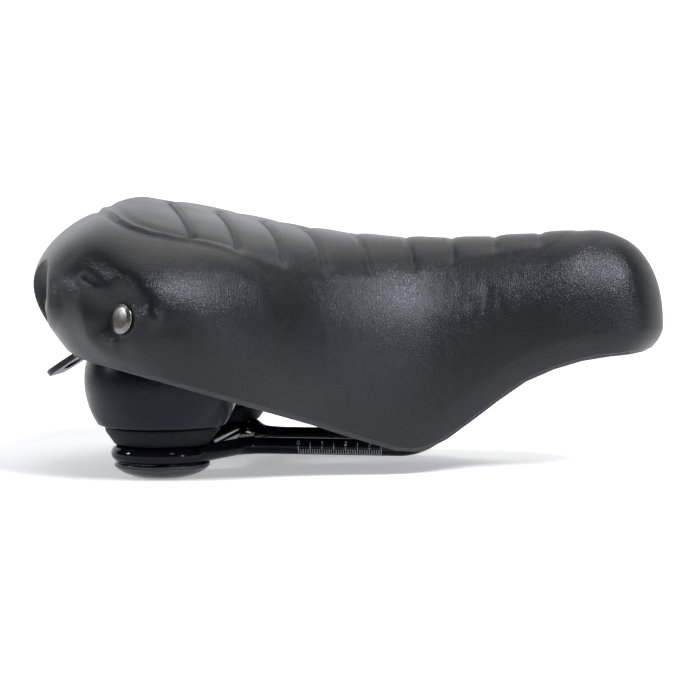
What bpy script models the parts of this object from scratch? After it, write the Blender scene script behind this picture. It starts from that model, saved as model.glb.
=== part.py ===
"""Comfort bicycle saddle on sprung steel rails.

Sizes are in metres. The origin is the middle of the straight stretch of the rails, where a
seatpost clamps them; +X runs to the nose, +Y to the rider's left and +Z up. The padded seat
turns on a rubber bush round the front bar of the rails and rests on two elastomer balls.
"""
import math

import bmesh
import bpy
from mathutils import Euler, Vector
from mathutils.bvhtree import BVHTree

OBJECT_NAME = "comfort_saddle"

# Clearances
GAP = 0.0003
HOLE_CLEARANCE = 0.0003

# Rails
RAIL_DIAMETER = 0.0070
RAIL_SPACING = 0.0440
CLAMP_REAR_X = -0.0400
CLAMP_FRONT_X = 0.0350
FRONT_BEND_RADIUS = 0.0240
REAR_BEND_RADIUS = 0.0140
CROSSBAR_X = -0.0560
CROSSBAR_BEND_RADIUS = 0.0100
NOSE_BAR_SETBACK = 0.0335
NOSE_BAR_DROP = 0.0124
NOSE_RAIL_SPACING = 0.0260
NOSE_BEND_RADIUS = 0.0070
UPPER_BEND_SETBACK = 0.0160
UPPER_BEND_DROP = 0.0020
UPPER_BEND_RADIUS = 0.0140
RAIL_ARC_STEP = math.radians(18.0)

# Elastomer balls and their seats
BALL_X = -0.0690
BALL_INSET = 0.0520
BALL_RADIUS = 0.0316
BALL_FOOT_RADIUS = 0.0258
BALL_HEAD_RADIUS = 0.0172
BALL_BORE_RADIUS = 0.0062
RING_RADIUS = 0.0174
CUP_TOP_HEIGHT = 0.0110
CUP_STEP = 0.0024
CUP_FOOT_RADIUS = 0.01945
CAP_RADIUS = 0.0196
CAP_DEPTH = 0.0060
CAP_RIM = 0.0012
TOP_PLATE_RADIUS = 0.0150
TOP_PLATE_THICKNESS = 0.0020
TOP_BOSS_RADIUS = 0.0140
BALL_SCREW_RADIUS = 0.0030
BALL_SCREW_HEAD_RADIUS = 0.0052
BALL_SCREW_HEAD_HEIGHT = 0.0030
TOP_SCREW_REACH = 0.0080
LOWER_INSERT_HEIGHT = 0.0060

# Seat form: reach behind and ahead of the origin, half width, and the layers' thicknesses
REAR_REACH = 0.1270
FRONT_REACH = 0.1335
HALF_WIDTH = 0.1040
WAIST_ROOM = 0.02064
WAIST_SHARE = 0.41
COVER_THICKNESS = 0.0016
TOP_FOAM = 0.0240
SHELL_THICKNESS = 0.0020
SHELL_GAP = 0.0010
FOAM_GAP = 0.0007
CEILING_MARGIN = 0.0060
EDGE_LAYER = 0.0038
LIP_GAP = 0.0006
LIP_INSET = 0.0012
BULGE_SHARE = 0.70
BULGE_SINK = 0.40
STATION_STEPS = 2
ROWS_ABOVE_BULGE = 6
ROWS_BELOW_BULGE = 3

# Crown of the seat along its middle, from tail to nose:
# place as a share of the rear (-) or front (+) reach, and height
CROWN = [
    (-0.830, 0.1036), (-0.700, 0.1048), (-0.535, 0.1018), (-0.370, 0.0973),
    (-0.205, 0.0932), (-0.040, 0.0902), (0.135, 0.0882), (0.337, 0.0879),
    (0.495, 0.0888), (0.644, 0.0903), (0.750, 0.0904), (0.862, 0.0895),
]

# Stations round one side, from the tail to the nose. Each holds the outline's place and
# half width as shares (WAIST_SHARE is the waist beside the rails and 1 the widest place), the
# lower edge's height, the place of the crown point the station fans out from, the inward
# tuck of the lower edge, the share of the height at which the side is widest, the
# roundness, and the foam at the side.
STATIONS = [
    (-0.984, 0.00, 0.0500, -0.677, 0.018, 0.58, 2.0, 0.0090),
    (-1.000, 0.25, 0.0475, -0.661, 0.018, 0.58, 2.0, 0.0090),
    (-0.958, 0.56, 0.0440, -0.614, 0.019, 0.59, 1.9, 0.0090),
    (-0.840, 0.83, 0.0420, -0.535, 0.012, 0.58, 2.0, 0.0065),
    (-0.630, 0.97, 0.0380, -0.425, 0.009, 0.58, 2.2, 0.0065),
    (-0.409, 1.00, 0.0320, -0.283, 0.007, 0.64, 2.3, 0.0080),
    (-0.205, 0.85, 0.0238, -0.142, 0.005, 0.70, 2.3, 0.0080),
    (-0.031, 0.64, 0.0147, 0.015, 0.005, 0.74, 2.2, 0.0070),
    (0.127, 0.50, 0.0060, 0.150, 0.005, 0.80, 2.2, 0.0060),
    (0.270, 0.41, 0.0015, 0.285, 0.005, 0.84, 2.2, 0.0050),
    (0.419, 0.35, 0.0140, 0.427, 0.004, 0.82, 2.2, 0.0045),
    (0.584, 0.30, 0.0300, 0.569, 0.004, 0.80, 2.2, 0.0040),
    (0.764, 0.27, 0.0385, 0.689, 0.004, 0.80, 2.2, 0.0038),
    (0.929, 0.20, 0.0410, 0.764, 0.004, 0.80, 2.2, 0.0038),
    (1.000, 0.00, 0.0415, 0.794, 0.005, 0.80, 2.2, 0.0038),
]

# Studs: place on the seat as a station number and a row share from crown to lower edge,
# and the angle by which each is turned towards the tail from square to the side
SIDE_STUD_PLACE = (4.18, 0.775)
REAR_STUD_PLACE = (2.40, 0.77)
SIDE_STUD_TURN = math.radians(17.0)
REAR_STUD_TURN = math.radians(18.0)
STUD_TILT = math.radians(6.0)
SIDE_STUD_SINK = 0.0030
REAR_STUD_SINK = 0.0060
STUD_HEAD_RADIUS = 0.0060
STUD_HEAD_HEIGHT = 0.0018
STUD_RIM = 0.0004
STUD_SHANK_RADIUS = 0.0020
STUD_POCKET_CLEARANCE = 0.0010
STUD_NUT_RADIUS = 0.0046
STUD_NUT_HEIGHT = 0.0025
STUD_NUT_GAP = 0.0036
STUD_TIP = 0.0015
STUD_SEARCH = 0.0250
POCKET_REACH = 0.0150

# Nose bush and its clamp
BUSH_WALL = 0.0035
CLAMP_WALL = 0.0024
CLAMP_EAR = 0.0100
NOSE_SCREW_RADIUS = 0.0020
NOSE_SCREW_HEAD_RADIUS = 0.0036
NOSE_SCREW_HEAD_HEIGHT = 0.0022
NOSE_SCREW_REACH = 0.0080

# Accessory tab under the tail
TAB_WIDTH = 0.0300
TAB_THICKNESS = 0.0024
TAB_SLOPE = math.radians(33.0)
TAB_OVERHANG = 0.0275
TAB_LENGTH = 0.0510
TAB_EDGE_CLEARANCE = 0.0062
TAB_CORNER = 0.0060
TAB_SLOT_WIDTH = 0.0080
TAB_SLOT_LENGTH = 0.0140
TAB_SLOT_SETBACK = 0.0090
TAB_SCREW_SETBACK = 0.0080
TAB_SCREW_SPACING = 0.0140
TAB_SCREW_REACH = 0.0070
TAB_SCREW_HEAD_RADIUS = 0.0036
TAB_SCREW_HEAD_HEIGHT = 0.0016
TAB_BOSS_LENGTH = 0.0150
TAB_BOSS_WIDTH = 0.0260
TAB_BOSS_REACH = 0.0300
TAB_NOTCH_CLEARANCE = 0.0006
TAB_NOTCH_DEPTH = 0.0200

# Sizes that follow from the ones above
RAIL_RADIUS = RAIL_DIAMETER / 2
RAIL_Y = RAIL_SPACING / 2
WAIST_HALF_WIDTH = RAIL_Y + WAIST_ROOM
NOSE_RAIL_Y = NOSE_RAIL_SPACING / 2
NOSE_BAR_X = FRONT_REACH - NOSE_BAR_SETBACK
BALL_Y = HALF_WIDTH - BALL_INSET
BALL_FLOOR = CUP_TOP_HEIGHT + GAP
BALL_CENTRE_HEIGHT = BALL_FLOOR + math.sqrt(BALL_RADIUS ** 2 - BALL_FOOT_RADIUS ** 2)
BALL_TOP_HEIGHT = BALL_CENTRE_HEIGHT + math.sqrt(BALL_RADIUS ** 2 - BALL_HEAD_RADIUS ** 2)
CUP_TOP_RADIUS = BALL_FOOT_RADIUS - CUP_STEP
RING_TOP = RAIL_RADIUS + GAP
RING_BORE = RING_RADIUS - RAIL_RADIUS
BUSH_BORE = RAIL_RADIUS + HOLE_CLEARANCE
BUSH_RADIUS = BUSH_BORE + BUSH_WALL
BUSH_HALF_LENGTH = NOSE_RAIL_Y - NOSE_BEND_RADIUS - GAP
TOP_PLATE_FLOOR = BALL_TOP_HEIGHT + GAP
TOP_BOSS_FLOOR = TOP_PLATE_FLOOR + TOP_PLATE_THICKNESS + GAP
SIDES = (("right", -1), ("left", 1))


# Scene set-up

for old_object in list(bpy.data.objects):
    bpy.data.objects.remove(old_object, do_unlink=True)


def new_collection(name):
    collection = bpy.data.collections.new(name)
    bpy.context.scene.collection.children.link(collection)
    return collection


PARTS = new_collection(OBJECT_NAME)
CUTTERS = new_collection(OBJECT_NAME + "_cutters")


def make_material(name, color, roughness, metallic=0.0):
    material = bpy.data.materials.new(name)
    material.use_nodes = True
    shader = material.node_tree.nodes["Principled BSDF"]
    shader.inputs["Base Color"].default_value = (*color, 1.0)
    shader.inputs["Roughness"].default_value = roughness
    shader.inputs["Metallic"].default_value = metallic
    material.diffuse_color = (*color, 1.0)
    return material


def add_part(name, mesh, material):
    part = bpy.data.objects.new(name, mesh)
    part.data.materials.clear()
    part.data.materials.append(material)
    PARTS.objects.link(part)
    return part


def add_cutter(name, mesh):
    cutter = bpy.data.objects.new(name, mesh)
    cutter.hide_render = True
    cutter.display_type = "WIRE"
    CUTTERS.objects.link(cutter)
    return cutter


def combine(target, tool, operation):
    """Cut, join or trim target with tool, in that object's own modifier stack."""
    modifier = target.modifiers.new(operation.lower() + "_" + tool.name, "BOOLEAN")
    modifier.operation = operation
    modifier.solver = "EXACT"
    modifier.object = tool


def evaluated_tree(part):
    """A search tree of a part's evaluated surface, in world space."""
    bpy.context.view_layer.update()
    graph = bpy.context.evaluated_depsgraph_get()
    mesh = bpy.data.meshes.new_from_object(part.evaluated_get(graph))
    mesh.transform(part.matrix_world)
    tree = BVHTree.FromPolygons([v.co for v in mesh.vertices], [p.vertices for p in mesh.polygons])
    bpy.data.meshes.remove(mesh)
    return tree


# Basic shapes

def arc(radius, centre_z, start_z, end_z, steps):
    """Profile points on a circle about the axis, from one height to another."""
    start = math.asin((start_z - centre_z) / radius)
    end = math.asin((end_z - centre_z) / radius)
    points = []
    for step in range(steps + 1):
        angle = start + (end - start) * step / steps
        points.append((radius * math.cos(angle), centre_z + radius * math.sin(angle)))
    return points


def dome(radius, height, base_z, steps):
    """Profile of a shallow dome from its rim down to the axis, or up if height is negative."""
    sphere = (radius * radius + height * height) / (2 * abs(height))
    half_angle = math.asin(radius / sphere)
    points = []
    for step in range(steps + 1):
        angle = half_angle * (1 - step / steps)
        rise = sphere * (math.cos(angle) - math.cos(half_angle))
        points.append((sphere * math.sin(angle), base_z + math.copysign(rise, height)))
    return points


def turned_mesh(name, profile, closed):
    """A profile of (radius, height) points, running down its outer side."""
    mesh = bpy.data.meshes.new(name)
    count = len(profile)
    edges = [(i, i + 1) for i in range(count - 1)]
    if closed:
        edges.append((count - 1, 0))
    mesh.from_pydata([(radius, 0.0, height) for radius, height in profile], edges, [])
    return mesh


def turn(part, steps=16):
    screw = part.modifiers.new("turn", "SCREW")
    screw.axis = "Z"
    screw.angle = math.tau
    screw.steps = steps
    screw.render_steps = steps
    screw.use_merge_vertices = True
    screw.merge_threshold = 0.000001
    return part


def place_on_axis(part, point, axis):
    """Stand a part that was modelled along +Z on a point, along an axis."""
    part.location = point
    part.rotation_mode = "QUATERNION"
    part.rotation_quaternion = Vector(axis).to_track_quat("Z", "Y")
    return part


def curve_solid(curve):
    """A flat curve's extruded solid as a closed mesh."""
    holder = bpy.data.objects.new(curve.name, curve)
    CUTTERS.objects.link(holder)
    bpy.context.view_layer.update()
    graph = bpy.context.evaluated_depsgraph_get()
    mesh = bpy.data.meshes.new_from_object(holder.evaluated_get(graph))
    bpy.data.objects.remove(holder)
    shape = bmesh.new()
    shape.from_mesh(mesh)
    bmesh.ops.remove_doubles(shape, verts=shape.verts, dist=0.00001)
    shape.to_mesh(mesh)
    shape.free()
    return mesh


def box_mesh(name, low, high):
    mesh = bpy.data.meshes.new(name)
    shape = bmesh.new()
    bmesh.ops.create_cube(shape, size=1.0)
    size = Vector(high) - Vector(low)
    middle = (Vector(high) + Vector(low)) / 2
    bmesh.ops.scale(shape, vec=size, verts=shape.verts)
    bmesh.ops.translate(shape, vec=middle, verts=shape.verts)
    shape.to_mesh(mesh)
    shape.free()
    return mesh


def cylinder_mesh(name, radius, low_z, high_z, segments=24):
    mesh = bpy.data.meshes.new(name)
    shape = bmesh.new()
    bmesh.ops.create_cone(shape, cap_ends=True, segments=segments, radius1=radius,
                          radius2=radius, depth=high_z - low_z)
    bmesh.ops.translate(shape, vec=(0.0, 0.0, (low_z + high_z) / 2), verts=shape.verts)
    shape.to_mesh(mesh)
    shape.free()
    return mesh


# Seat form

def curve_value(values, position):
    """Catmull-Rom value at a fractional index into a list that carries on evenly."""
    index = min(int(position), len(values) - 2)
    share = position - index
    before = values[index - 1] if index > 0 else 2 * values[0] - values[1]
    after = values[index + 2] if index + 2 < len(values) else 2 * values[-1] - values[-2]
    first = values[index]
    second = values[index + 1]
    return 0.5 * (2 * first + (second - before) * share
                  + (2 * before - 5 * first + 4 * second - after) * share ** 2
                  + (3 * first - before - 3 * second + after) * share ** 3)


def reach_x(share):
    return share * (REAR_REACH if share < 0 else FRONT_REACH)


def half_width(share):
    """Half width for a station's share: up to the waist's it follows the rails' spacing."""
    if share <= WAIST_SHARE:
        return share / WAIST_SHARE * WAIST_HALF_WIDTH
    spread = (share - WAIST_SHARE) / (1 - WAIST_SHARE)
    return WAIST_HALF_WIDTH + spread * (HALF_WIDTH - WAIST_HALF_WIDTH)


def crown_height(x):
    """Height of the seat's middle line, level beyond the first and last points."""
    places = [reach_x(share) for share, _ in CROWN]
    heights = [height for _, height in CROWN]
    if x <= places[0]:
        return heights[0]
    if x >= places[-1]:
        return heights[-1]
    index = max(i for i, place in enumerate(places) if place <= x)
    index = min(index, len(places) - 2)
    share = (x - places[index]) / (places[index + 1] - places[index])
    return curve_value(heights, index + share)


def mirrored_station_value(column, position):
    """A station column at a fractional station, with the other side's stations beyond the ends."""
    last = len(STATIONS) - 1
    sign = -1 if column == 1 else 1
    values = [sign * STATIONS[1][column]]
    values += [station[column] for station in STATIONS]
    values.append(sign * STATIONS[last - 1][column])
    return curve_value(values, position + 1)


def seat_point(station, row, deeper=0.0, layer=0.0):
    """A point on the seat form.

    station runs from 0 at the tail to the last station at the nose, and row from 0 on the
    crown to 1 at the lower edge. layer 0 is the cover's outside and layer 1 the foam's
    underside; deeper sinks the surface by that much more.
    """
    values = [mirrored_station_value(column, station) for column in range(8)]
    out_share, half_share, edge_z, crown_share, tuck, bulge, roundness, side_foam = values
    fan_x = reach_x(crown_share)
    side_x = reach_x(out_share) - fan_x
    side_y = half_width(half_share)
    span = math.hypot(side_x, side_y)
    sink = layer * TOP_FOAM + deeper
    bulge_sink = sink * (1 - bulge) * BULGE_SINK
    if row <= BULGE_SHARE:
        angle = row / BULGE_SHARE * math.pi / 2
        level = max(math.cos(angle), 0.0) ** (2 / roundness)
        outward = math.sin(angle) ** (2 / roundness)
        fall = bulge * (1 - level)
        sink = bulge_sink + (sink - bulge_sink) * level
    else:
        down = (row - BULGE_SHARE) / (1 - BULGE_SHARE)
        outward = 1 - tuck / span * down ** 2
        fall = bulge + (1 - bulge) * down
        sink = bulge_sink * (1 - down)
    outward *= 1 - (layer * side_foam + deeper) / span
    crown_z = crown_height(fan_x + side_x * outward)
    return Vector((fan_x + side_x * outward, side_y * outward,
                   edge_z + (crown_z - edge_z) * (1 - fall) - sink))


def seat_rows(deeper=0.0, layer=0.0):
    """The near half of the form as a grid of points, one list for each station step."""
    rows = [BULGE_SHARE * i / ROWS_ABOVE_BULGE for i in range(ROWS_ABOVE_BULGE)]
    rows += [BULGE_SHARE + (1 - BULGE_SHARE) * i / ROWS_BELOW_BULGE
             for i in range(ROWS_BELOW_BULGE + 1)]
    count = (len(STATIONS) - 1) * STATION_STEPS
    return [[seat_point(i / STATION_STEPS, row, deeper, layer) for row in rows]
            for i in range(count + 1)]


def grid_mesh(name, grid):
    """A quad surface through a grid of points, facing outwards, on the left side."""
    mesh = bpy.data.meshes.new(name)
    width = len(grid[0])
    points = [point for line in grid for point in line]
    faces = []
    for i in range(len(grid) - 1):
        for j in range(width - 1):
            corner = i * width + j
            faces.append((corner, corner + width, corner + width + 1, corner + 1))
    mesh.from_pydata(points, [], faces)
    return mesh


def mirror_left_to_right(part):
    mirror = part.modifiers.new("mirror", "MIRROR")
    mirror.use_axis = (False, True, False)
    mirror.use_clip = True
    mirror.merge_threshold = 0.00001


def grid_normals(grid):
    """Outward normals at a grid's points, with the other side mirrored beyond the middle."""
    last = len(grid) - 1
    width = len(grid[0])

    def neighbour(i, j):
        if j == width:
            return 2 * grid[i][j - 1] - grid[i][j - 2]
        if j < 0:
            point = grid[i][-j]
            return Vector((point.x, -point.y, point.z))
        if 0 <= i <= last:
            return grid[i][j]
        end, inside = (0, 1) if i < 0 else (last, last - 1)
        if j == 0:
            return 2 * grid[end][j] - grid[inside][j]
        point = grid[inside][j]
        return Vector((point.x, -point.y, point.z))

    normals = []
    for i in range(last + 1):
        line = []
        for j in range(width):
            along = neighbour(i + 1, j) - neighbour(i - 1, j)
            down = neighbour(i, j + 1) - neighbour(i, j - 1)
            if j == 0:
                down = Vector((0.0, 1.0, 0.0))
            line.append(along.cross(down).normalized())
        normals.append(line)
    return normals


def sunk_grid(grid, normals, depth):
    return [[point - normal * depth for point, normal in zip(line, directions)]
            for line, directions in zip(grid, normals)]


def under_foam_rows(outside, normals, deeper=0.0):
    """The foam's underside, or a surface deeper still: it closes up to the cover at the edge."""
    grid = seat_rows(deeper, layer=1.0)
    for i, line in enumerate(grid):
        for below in range(1, ROWS_BELOW_BULGE + 1):
            j = ROWS_ABOVE_BULGE + below
            share = below / ROWS_BELOW_BULGE
            near_edge = outside[i][j] - normals[i][j] * (EDGE_LAYER + deeper)
            line[j] = line[j].lerp(near_edge, share)
    return grid


def layer_mesh(name, outer, inner):
    """The left half of a closed layer between two grids, open at the middle plane."""
    mesh = bpy.data.meshes.new(name)
    width = len(outer[0])
    count = len(outer) * width
    points = [point for line in outer + inner for point in line]
    faces = []
    for i in range(len(outer) - 1):
        for j in range(width - 1):
            corner = i * width + j
            quad = (corner, corner + width, corner + width + 1, corner + 1)
            faces.append(quad)
            faces.append(tuple(count + index for index in reversed(quad)))
        rim = i * width + width - 1
        faces.append((rim, rim + width, count + rim + width, count + rim))
    mesh.from_pydata(points, [], faces)
    return mesh


def solidify_inward(part, thickness):
    solidify = part.modifiers.new("wall", "SOLIDIFY")
    solidify.thickness = thickness
    solidify.offset = -1.0


def shell_rows(outside, normals):
    """The base shell's outside, with a lip turned out under the cover's edge."""
    grid = under_foam_rows(outside, normals, SHELL_GAP)
    for line, cover_line, directions in zip(grid, outside, normals):
        edge = cover_line[-1]
        downward = (edge - cover_line[-2]).normalized() * LIP_GAP
        line[-1] = line[-1] + downward
        line.append(edge - directions[-1] * LIP_INSET + downward)
    return grid


def stud_frame(place, tail_turn, sink):
    """Centre of a stud's seat on the form and the direction it faces there, left side."""
    station, row = place
    small = 0.02
    along = seat_point(station + small, row) - seat_point(station - small, row)
    down = seat_point(station, row + small) - seat_point(station, row - small)
    outward = along.cross(down)
    outward.z = 0.0
    outward.rotate(Euler((0.0, 0.0, tail_turn)))
    outward = outward.normalized() * math.cos(STUD_TILT) + Vector((0, 0, math.sin(STUD_TILT)))
    return seat_point(station, row) - outward * sink, outward


# Materials

LEATHER = make_material("cover_leather", (0.040, 0.041, 0.046), 0.42)
FOAM = make_material("foam", (0.55, 0.52, 0.42), 0.95)
SHELL = make_material("shell_plastic", (0.020, 0.020, 0.022), 0.55)
STEEL_BLACK = make_material("black_steel", (0.010, 0.011, 0.014), 0.18, 0.3)
ELASTOMER = make_material("elastomer", (0.016, 0.019, 0.026), 0.40)
CUP = make_material("cup_plastic", (0.015, 0.017, 0.022), 0.50)
CAP = make_material("cap_plastic", (0.010, 0.010, 0.013), 0.20)
NICKEL = make_material("nickel", (0.62, 0.60, 0.56), 0.28, 1.0)
ZINC = make_material("zinc", (0.50, 0.51, 0.53), 0.35, 1.0)
BUSH = make_material("bush_rubber", (0.020, 0.020, 0.020), 0.80)


# Rails: one rod bent into a closed loop, from the nose bar round both rings

NOSE_BAR_HEIGHT = crown_height(NOSE_BAR_X) - TOP_FOAM - NOSE_BAR_DROP


def rounded_path(corners, radii):
    """Points along a line through corners, each inner corner rounded to its radius."""
    points = [corners[0]]
    for i, radius in enumerate(radii):
        corner = corners[i + 1]
        back = (corners[i] - corner).normalized()
        ahead = (corners[i + 2] - corner).normalized()
        turn_angle = math.pi - back.angle(ahead)
        setback = radius * math.tan(turn_angle / 2)
        centre = corner + (back + ahead).normalized() * (radius / math.cos(turn_angle / 2))
        start = corner + back * setback - centre
        finish = corner + ahead * setback - centre
        steps = max(2, math.ceil(turn_angle / RAIL_ARC_STEP))
        for step in range(steps + 1):
            share = step / steps
            blend = (start * math.sin((1 - share) * turn_angle)
                     + finish * math.sin(share * turn_angle)) / math.sin(turn_angle)
            points.append(centre + blend)
    points.append(corners[-1])
    return points


def rail_half_points():
    """The left half of the rod's centre line, from the nose bar to the crossbar."""
    ring = Vector((BALL_X, BALL_Y, 0.0))
    rear_bend = Vector((CLAMP_REAR_X, RAIL_Y, 0.0))
    to_bend = rear_bend - ring
    tangent_angle = (math.atan2(to_bend.y, to_bend.x)
                     + math.acos(RING_RADIUS / to_bend.length))
    inner_angle = 1.5 * math.pi

    def on_ring(angle):
        return ring + RING_RADIUS * Vector((math.cos(angle), math.sin(angle), 0.0))

    upper_x = NOSE_BAR_X - UPPER_BEND_SETBACK
    upper_z = NOSE_BAR_HEIGHT - UPPER_BEND_DROP
    upper_share = UPPER_BEND_SETBACK / (NOSE_BAR_X - CLAMP_FRONT_X)
    upper_y = NOSE_RAIL_Y + (RAIL_Y - NOSE_RAIL_Y) * upper_share
    rail = rounded_path(
        [Vector((NOSE_BAR_X, 0.0, NOSE_BAR_HEIGHT)),
         Vector((NOSE_BAR_X, NOSE_RAIL_Y, NOSE_BAR_HEIGHT)),
         Vector((upper_x, upper_y, upper_z)),
         Vector((CLAMP_FRONT_X, RAIL_Y, 0.0)),
         rear_bend,
         on_ring(tangent_angle)],
        [NOSE_BEND_RADIUS, UPPER_BEND_RADIUS, FRONT_BEND_RADIUS, REAR_BEND_RADIUS])
    steps = math.ceil((inner_angle - tangent_angle) / RAIL_ARC_STEP)
    ring_points = [on_ring(tangent_angle + (inner_angle - tangent_angle) * i / steps)
                   for i in range(1, steps)]
    inner = on_ring(inner_angle)
    crossbar = rounded_path(
        [inner, Vector((CROSSBAR_X, inner.y, 0.0)), Vector((CROSSBAR_X, 0.0, 0.0))],
        [CROSSBAR_BEND_RADIUS])
    return rail + ring_points + crossbar


def build_rails():
    left = rail_half_points()
    right = [Vector((p.x, -p.y, p.z)) for p in reversed(left[1:-1])]
    points = left[1:-1] + right
    curve = bpy.data.curves.new("rail_frame", "CURVE")
    curve.dimensions = "3D"
    curve.bevel_depth = RAIL_RADIUS
    curve.bevel_resolution = 2
    spline = curve.splines.new("POLY")
    spline.points.add(len(points) - 1)
    for target, point in zip(spline.points, points):
        target.co = (*point, 1.0)
    spline.use_cyclic_u = True
    add_part("rail_frame", curve, STEEL_BLACK)


# Elastomer balls, cups, caps and their screws

def build_ball_set(side, sign):
    def stand(name, profile, material, closed, steps=20):
        part = add_part(name + "_" + side, turned_mesh(name, profile, closed), material)
        part.location = (BALL_X, sign * BALL_Y, 0.0)
        return turn(part, steps)

    bolt_hole = BALL_SCREW_RADIUS + HOLE_CLEARANCE
    ball = arc(BALL_RADIUS, BALL_CENTRE_HEIGHT, BALL_TOP_HEIGHT, BALL_FLOOR, 7)
    stand("elastomer",
          [(BALL_BORE_RADIUS, BALL_TOP_HEIGHT)] + ball + [(BALL_BORE_RADIUS, BALL_FLOOR)],
          ELASTOMER, closed=True)

    plug_radius = RING_BORE - GAP
    plug_floor = -RAIL_RADIUS + GAP
    stand("lower_cup",
          [(bolt_hole, CUP_TOP_HEIGHT), (CUP_TOP_RADIUS, CUP_TOP_HEIGHT),
           (CUP_FOOT_RADIUS, RING_TOP), (plug_radius, RING_TOP), (plug_radius, plug_floor),
           (bolt_hole, plug_floor)],
          CUP, closed=True)

    cap_top = -RAIL_RADIUS - GAP
    cap_floor = cap_top - CAP_DEPTH
    recess_radius = BALL_SCREW_HEAD_RADIUS + HOLE_CLEARANCE
    recess_top = cap_floor + BALL_SCREW_HEAD_HEIGHT + 2 * GAP
    cap_dome = [point for point in dome(CAP_RADIUS, CAP_RIM - CAP_DEPTH, cap_top - CAP_RIM, 5)
                if point[0] > recess_radius]
    stand("ring_cap",
          [(bolt_hole, cap_top), (CAP_RADIUS, cap_top)] + cap_dome
          + [(recess_radius, cap_floor), (recess_radius, recess_top), (bolt_hole, recess_top)],
          CAP, closed=True)

    head_top = recess_top - GAP
    insert_floor = BALL_FLOOR + GAP
    insert_top = insert_floor + LOWER_INSERT_HEIGHT
    stand("lower_bolt",
          [(0.0, insert_top - GAP), (BALL_SCREW_RADIUS, insert_top - GAP),
           (BALL_SCREW_RADIUS, head_top), (BALL_SCREW_HEAD_RADIUS, head_top),
           (BALL_SCREW_HEAD_RADIUS, head_top - BALL_SCREW_HEAD_HEIGHT),
           (0.0, head_top - BALL_SCREW_HEAD_HEIGHT)],
          ZINC, closed=False, steps=12)
    insert_radius = BALL_BORE_RADIUS - HOLE_CLEARANCE
    stand("lower_insert",
          [(bolt_hole, insert_top), (insert_radius, insert_top), (insert_radius, insert_floor),
           (bolt_hole, insert_floor)],
          ZINC, closed=True, steps=12)

    stand("top_plate",
          [(bolt_hole, TOP_PLATE_FLOOR + TOP_PLATE_THICKNESS),
           (TOP_PLATE_RADIUS, TOP_PLATE_FLOOR + TOP_PLATE_THICKNESS),
           (TOP_PLATE_RADIUS, TOP_PLATE_FLOOR), (bolt_hole, TOP_PLATE_FLOOR)],
          ZINC, closed=True)
    screw_top = TOP_BOSS_FLOOR + TOP_SCREW_REACH
    head_top = TOP_PLATE_FLOOR - GAP
    stand("top_screw",
          [(0.0, screw_top), (BALL_SCREW_RADIUS, screw_top), (BALL_SCREW_RADIUS, head_top),
           (BALL_SCREW_HEAD_RADIUS, head_top),
           (BALL_SCREW_HEAD_RADIUS, head_top - BALL_SCREW_HEAD_HEIGHT),
           (0.0, head_top - BALL_SCREW_HEAD_HEIGHT)],
          ZINC, closed=False, steps=12)


# Seat: cover, foam and base shell

def build_seat_layers(outside, normals):
    cover = add_part("cover", grid_mesh("cover", outside), LEATHER)
    mirror_left_to_right(cover)
    solidify_inward(cover, COVER_THICKNESS)

    foam = add_part("foam_pad", layer_mesh(
        "foam_pad", sunk_grid(outside, normals, COVER_THICKNESS + FOAM_GAP),
        under_foam_rows(outside, normals)), FOAM)
    mirror_left_to_right(foam)

    shell = add_part("base_shell", grid_mesh("base_shell", shell_rows(outside, normals)), SHELL)
    mirror_left_to_right(shell)
    solidify_inward(shell, SHELL_THICKNESS)
    return cover, foam, shell


def build_ceiling(outside, normals):
    """A cutter that fills the seat above the middle of the shell's wall."""
    mid_wall = SHELL_GAP + SHELL_THICKNESS / 2
    ceiling = add_cutter("ceiling", layer_mesh(
        "ceiling", sunk_grid(outside, normals, -CEILING_MARGIN),
        under_foam_rows(outside, normals, mid_wall)))
    mirror_left_to_right(ceiling)
    return ceiling


def join_boss(shell, ceiling, name, mesh):
    """Join a boss to the shell, trimmed inside the thickness of its wall."""
    boss = add_cutter(name, mesh)
    combine(boss, ceiling, "DIFFERENCE")
    combine(shell, boss, "UNION")
    return boss


def build_ball_bosses(shell, ceiling):
    for side, sign in SIDES:
        place = (BALL_X, sign * BALL_Y, 0.0)
        boss = join_boss(shell, ceiling, "ball_boss_" + side,
                         cylinder_mesh("ball_boss", TOP_BOSS_RADIUS, TOP_BOSS_FLOOR,
                                       crown_height(BALL_X) - TOP_FOAM / 2))
        boss.location = place
        hole_top = TOP_BOSS_FLOOR + TOP_SCREW_REACH + GAP
        hole = add_cutter("ball_hole_" + side,
                          cylinder_mesh("ball_hole", BALL_SCREW_RADIUS + HOLE_CLEARANCE,
                                        TOP_BOSS_FLOOR - GAP, hole_top, 16))
        hole.location = place
        combine(shell, hole, "DIFFERENCE")


# Studs that pull the cover in, with a nut inside the shell

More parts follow.
